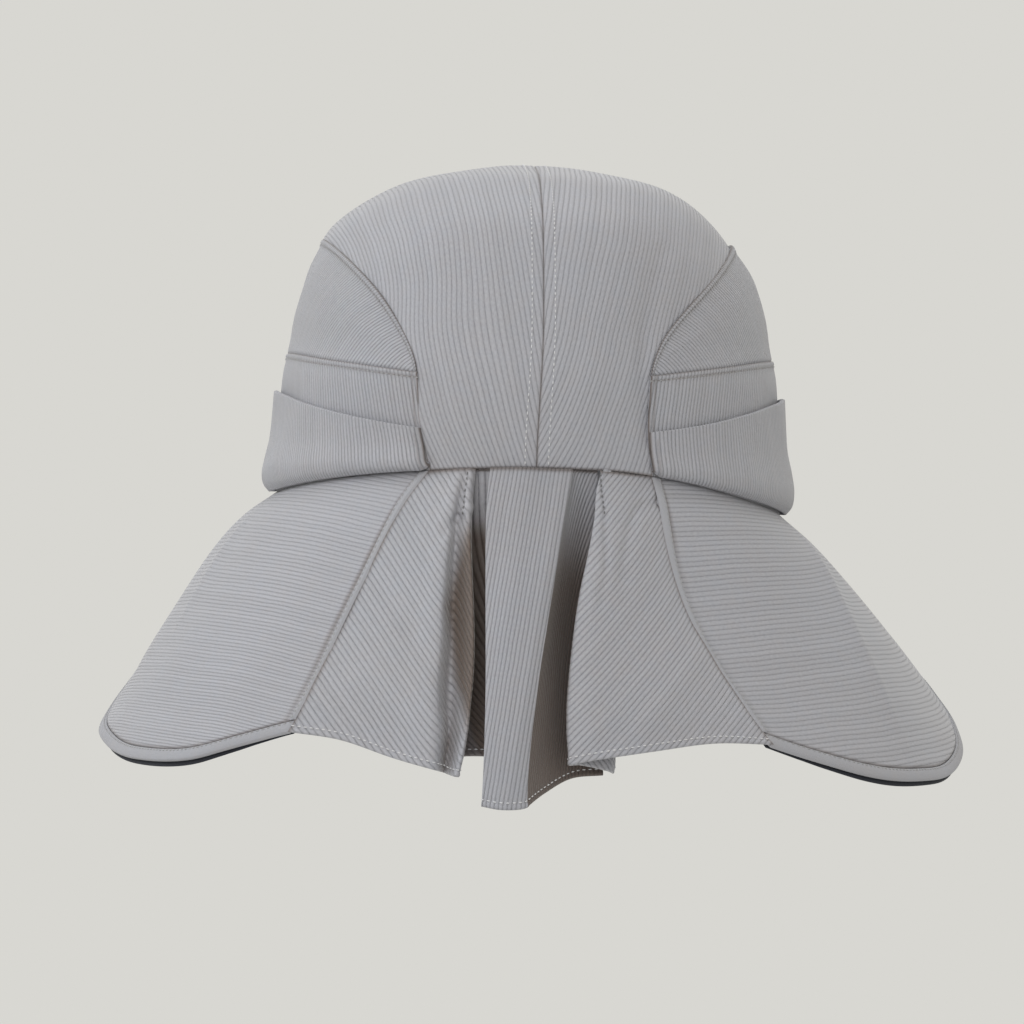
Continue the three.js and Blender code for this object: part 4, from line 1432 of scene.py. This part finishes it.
class HAT_OT_stitches(bpy.types.Operator):
    """Topstitch the seams, the hems and the binding"""

    bl_idname = "hat.stitches"
    bl_label = "Stitches"

    def execute(self, context):
        cloths = hat_materials()
        centre = []
        seams = []
        for hand in ("right", "left"):
            last = hand == "left"
            centre.append(line_on(*SEWN[f"crown_panel_{hand}"], 4.1, 0, last))
            seams.append(line_on(*SEWN[f"side_panel_{hand}"], 2.35, 1, True, lift=0.02))
            seams.append(line_on(*SEWN[f"side_inset_{hand}"], 2.05, 1, True, lift=0.02))
        stitch_piece("centre_seam_stitches", centre, cloths["pale thread"])
        stitch_piece("side_seam_stitches", seams, cloths["grey thread"])
        brim = [line_on(*SEWN["brim_binding"], 0.8, 1, True, lift=0.05)]
        for hand in ("right", "left"):
            brim.append(line_on(*SEWN[f"brim_welt_{hand}"], 0.7, 0, hand == "right", lift=0.05))
        stitch_piece("brim_stitches", brim, cloths["grey thread"])
        cape = [line_on(*SEWN[name], 2.3, 1) for name in ("cape_left", "cape_centre", "cape_right")]
        darts = [line_through(*SEWN[name], places) for name, places in DARTS.items()]
        stitch_piece("cape_stitches", cape, cloths["pale thread"])
        stitch_piece("dart_stitches", darts, cloths["dark thread"])
        return {"FINISHED"}


class HAT_OT_stage(bpy.types.Operator):
    """Set the pale studio cove, the soft lights and the camera"""

    bl_idname = "hat.stage"
    bl_label = "Stage"

    def execute(self, context):
        self.cove()
        self.world(context.scene)
        self.lights()
        self.camera(context.scene)
        context.scene.view_settings.view_transform = "Standard"
        context.scene.view_settings.look = "None"
        return {"FINISHED"}

    def cove(self):
        """A round floor that sweeps up into a wall on every side."""
        floor_height = -1.4
        radius = 3.6
        sweep = 1.2
        profile = [(0.0, floor_height)]
        for angle in np.linspace(0, math.pi / 2, 13):
            out = radius - sweep + sweep * math.sin(angle)
            profile.append((out, floor_height + sweep * (1 - math.cos(angle))))
        profile.append((radius, 3.4))
        turns = 96
        vertices = [(0.0, 0.0, floor_height)]
        for out, height in profile[1:]:
            for k in range(turns):
                angle = 2 * math.pi * k / turns
                vertices.append((out * math.cos(angle), out * math.sin(angle), height))
        faces = [(0, 1 + k, 1 + (k + 1) % turns) for k in range(turns)]
        for ring in range(len(profile) - 2):
            low = 1 + ring * turns
            high = low + turns
            for k in range(turns):
                after = (k + 1) % turns
                faces.append((low + k, high + k, high + after, low + after))
        mesh = bpy.data.meshes.new("cove")
        mesh.from_pydata(vertices, [], faces)
        mesh.polygons.foreach_set("use_smooth", np.ones(len(mesh.polygons), dtype=bool))
        cove = bpy.data.objects.new("cove", mesh)
        bpy.context.scene.collection.objects.link(cove)
        material = bpy.data.materials.new("pale paper")
        material.use_nodes = True
        tree = material.node_tree
        paper = {
            "Base Color": (0.10, 0.10, 0.097, 1.0),
            "Roughness": 0.95,
            "Specular IOR Level": 0.0,
            "Emission Color": PAPER,
            "Emission Strength": 0.88,
        }
        feed(tree, tree.nodes["Principled BSDF"], paper)
        mesh.materials.append(material)

    def world(self, scene):
        scene.world = bpy.data.worlds.new("studio")
        scene.world.use_nodes = True
        tree = scene.world.node_tree
        feed(tree, tree.nodes["Background"], {"Color": PAPER, "Strength": 1.0})

    def lights(self):
        for name, place, size, power, colour in (
            ("left window", (-2.3, 0.3, 1.4), 1.4, 24.5, (0.92, 0.955, 1.0)),
            ("right card", (2.2, 0.3, 0.8), 1.2, 2.0, (1.0, 0.86, 0.68)),
            ("top card", (0.1, 0.3, 2.4), 1.2, 14.0, (0.95, 0.975, 1.0)),
            ("back card", (-0.6, -2.0, 0.5), 1.5, 15.0, (0.98, 0.985, 1.0)),
        ):
            lamp = bpy.data.lights.new(name, "AREA")
            lamp.size = size
            lamp.energy = power
            lamp.color = colour
            light = bpy.data.objects.new(name, lamp)
            aim = Vector(place).to_track_quat("Z", "Y").to_matrix().to_4x4()
            light.matrix_world = Matrix.Translation(Vector(place)) @ aim
            bpy.context.scene.collection.objects.link(light)

    def camera(self, scene):
        """A long lens level with the hat, a little to its left and turned a little."""
        distance = 1.55
        steps = 1024
        step = 0.36
        width_at_hat = steps * step * MM
        yaw = -2.6 * RAD
        roll = 0.9 * RAD
        right = Vector((math.cos(yaw), math.sin(yaw), 0.0))
        back = Vector((math.sin(yaw), -math.cos(yaw), 0.0))
        up = Vector((0.0, 0.0, 1.0))
        steps_left = 15.0
        steps_down = 12.0
        target = -right * steps_left * step * MM - up * steps_down * step * MM
        lens = bpy.data.cameras.new("camera")
        lens.sensor_width = 36.0
        lens.lens = 36.0 * distance / width_at_hat
        lens.clip_end = 50.0
        camera = bpy.data.objects.new("camera", lens)
        camera_up = up * math.cos(roll) - right * math.sin(roll)
        camera_right = right * math.cos(roll) + up * math.sin(roll)
        turn = Matrix((camera_right, camera_up, back)).transposed().to_4x4()
        camera.matrix_world = Matrix.Translation(target + back * distance) @ turn
        scene.collection.objects.link(camera)
        scene.camera = camera


class HAT_PT_panel(bpy.types.Panel):
    """The hat's steps and settings"""

    bl_idname = "HAT_PT_panel"
    bl_label = "Sun Hat"
    bl_space_type = "VIEW_3D"
    bl_region_type = "UI"
    bl_category = "Sun Hat"

    def draw(self, context):
        layout = self.layout
        for name in HatSizes.__annotations__:
            layout.prop(context.scene.hat_size, name)
        for name in HatLook.__annotations__:
            layout.prop(context.scene.hat_look, name)
        for step in STEPS:
            layout.operator(step.bl_idname)


STEPS = (HAT_OT_crown, HAT_OT_bands, HAT_OT_brim, HAT_OT_cape, HAT_OT_stitches, HAT_OT_stage)
CLASSES = (HatSizes, HatLook, *STEPS, HAT_PT_panel)

# The tone of the pale paper cove and of the light around it
PAPER = (0.687, 0.679, 0.645, 1.0)
# Each sewn wall's grid and the height of its outer face, for the stitches
SEWN = {}
# The shader groups that the cloths share
GROUPS = {}


def register():
    for item in CLASSES:
        bpy.utils.register_class(item)
    bpy.types.Scene.hat_size = bpy.props.PointerProperty(type=HatSizes)
    bpy.types.Scene.hat_look = bpy.props.PointerProperty(type=HatLook)


def unregister():
    del bpy.types.Scene.hat_look
    del bpy.types.Scene.hat_size
    for item in reversed(CLASSES):
        bpy.utils.unregister_class(item)


def main():
    register()
    for step in STEPS:
        area, name = step.bl_idname.split(".")
        getattr(getattr(bpy.ops, area), name)()


if __name__ == "__main__":
    main()
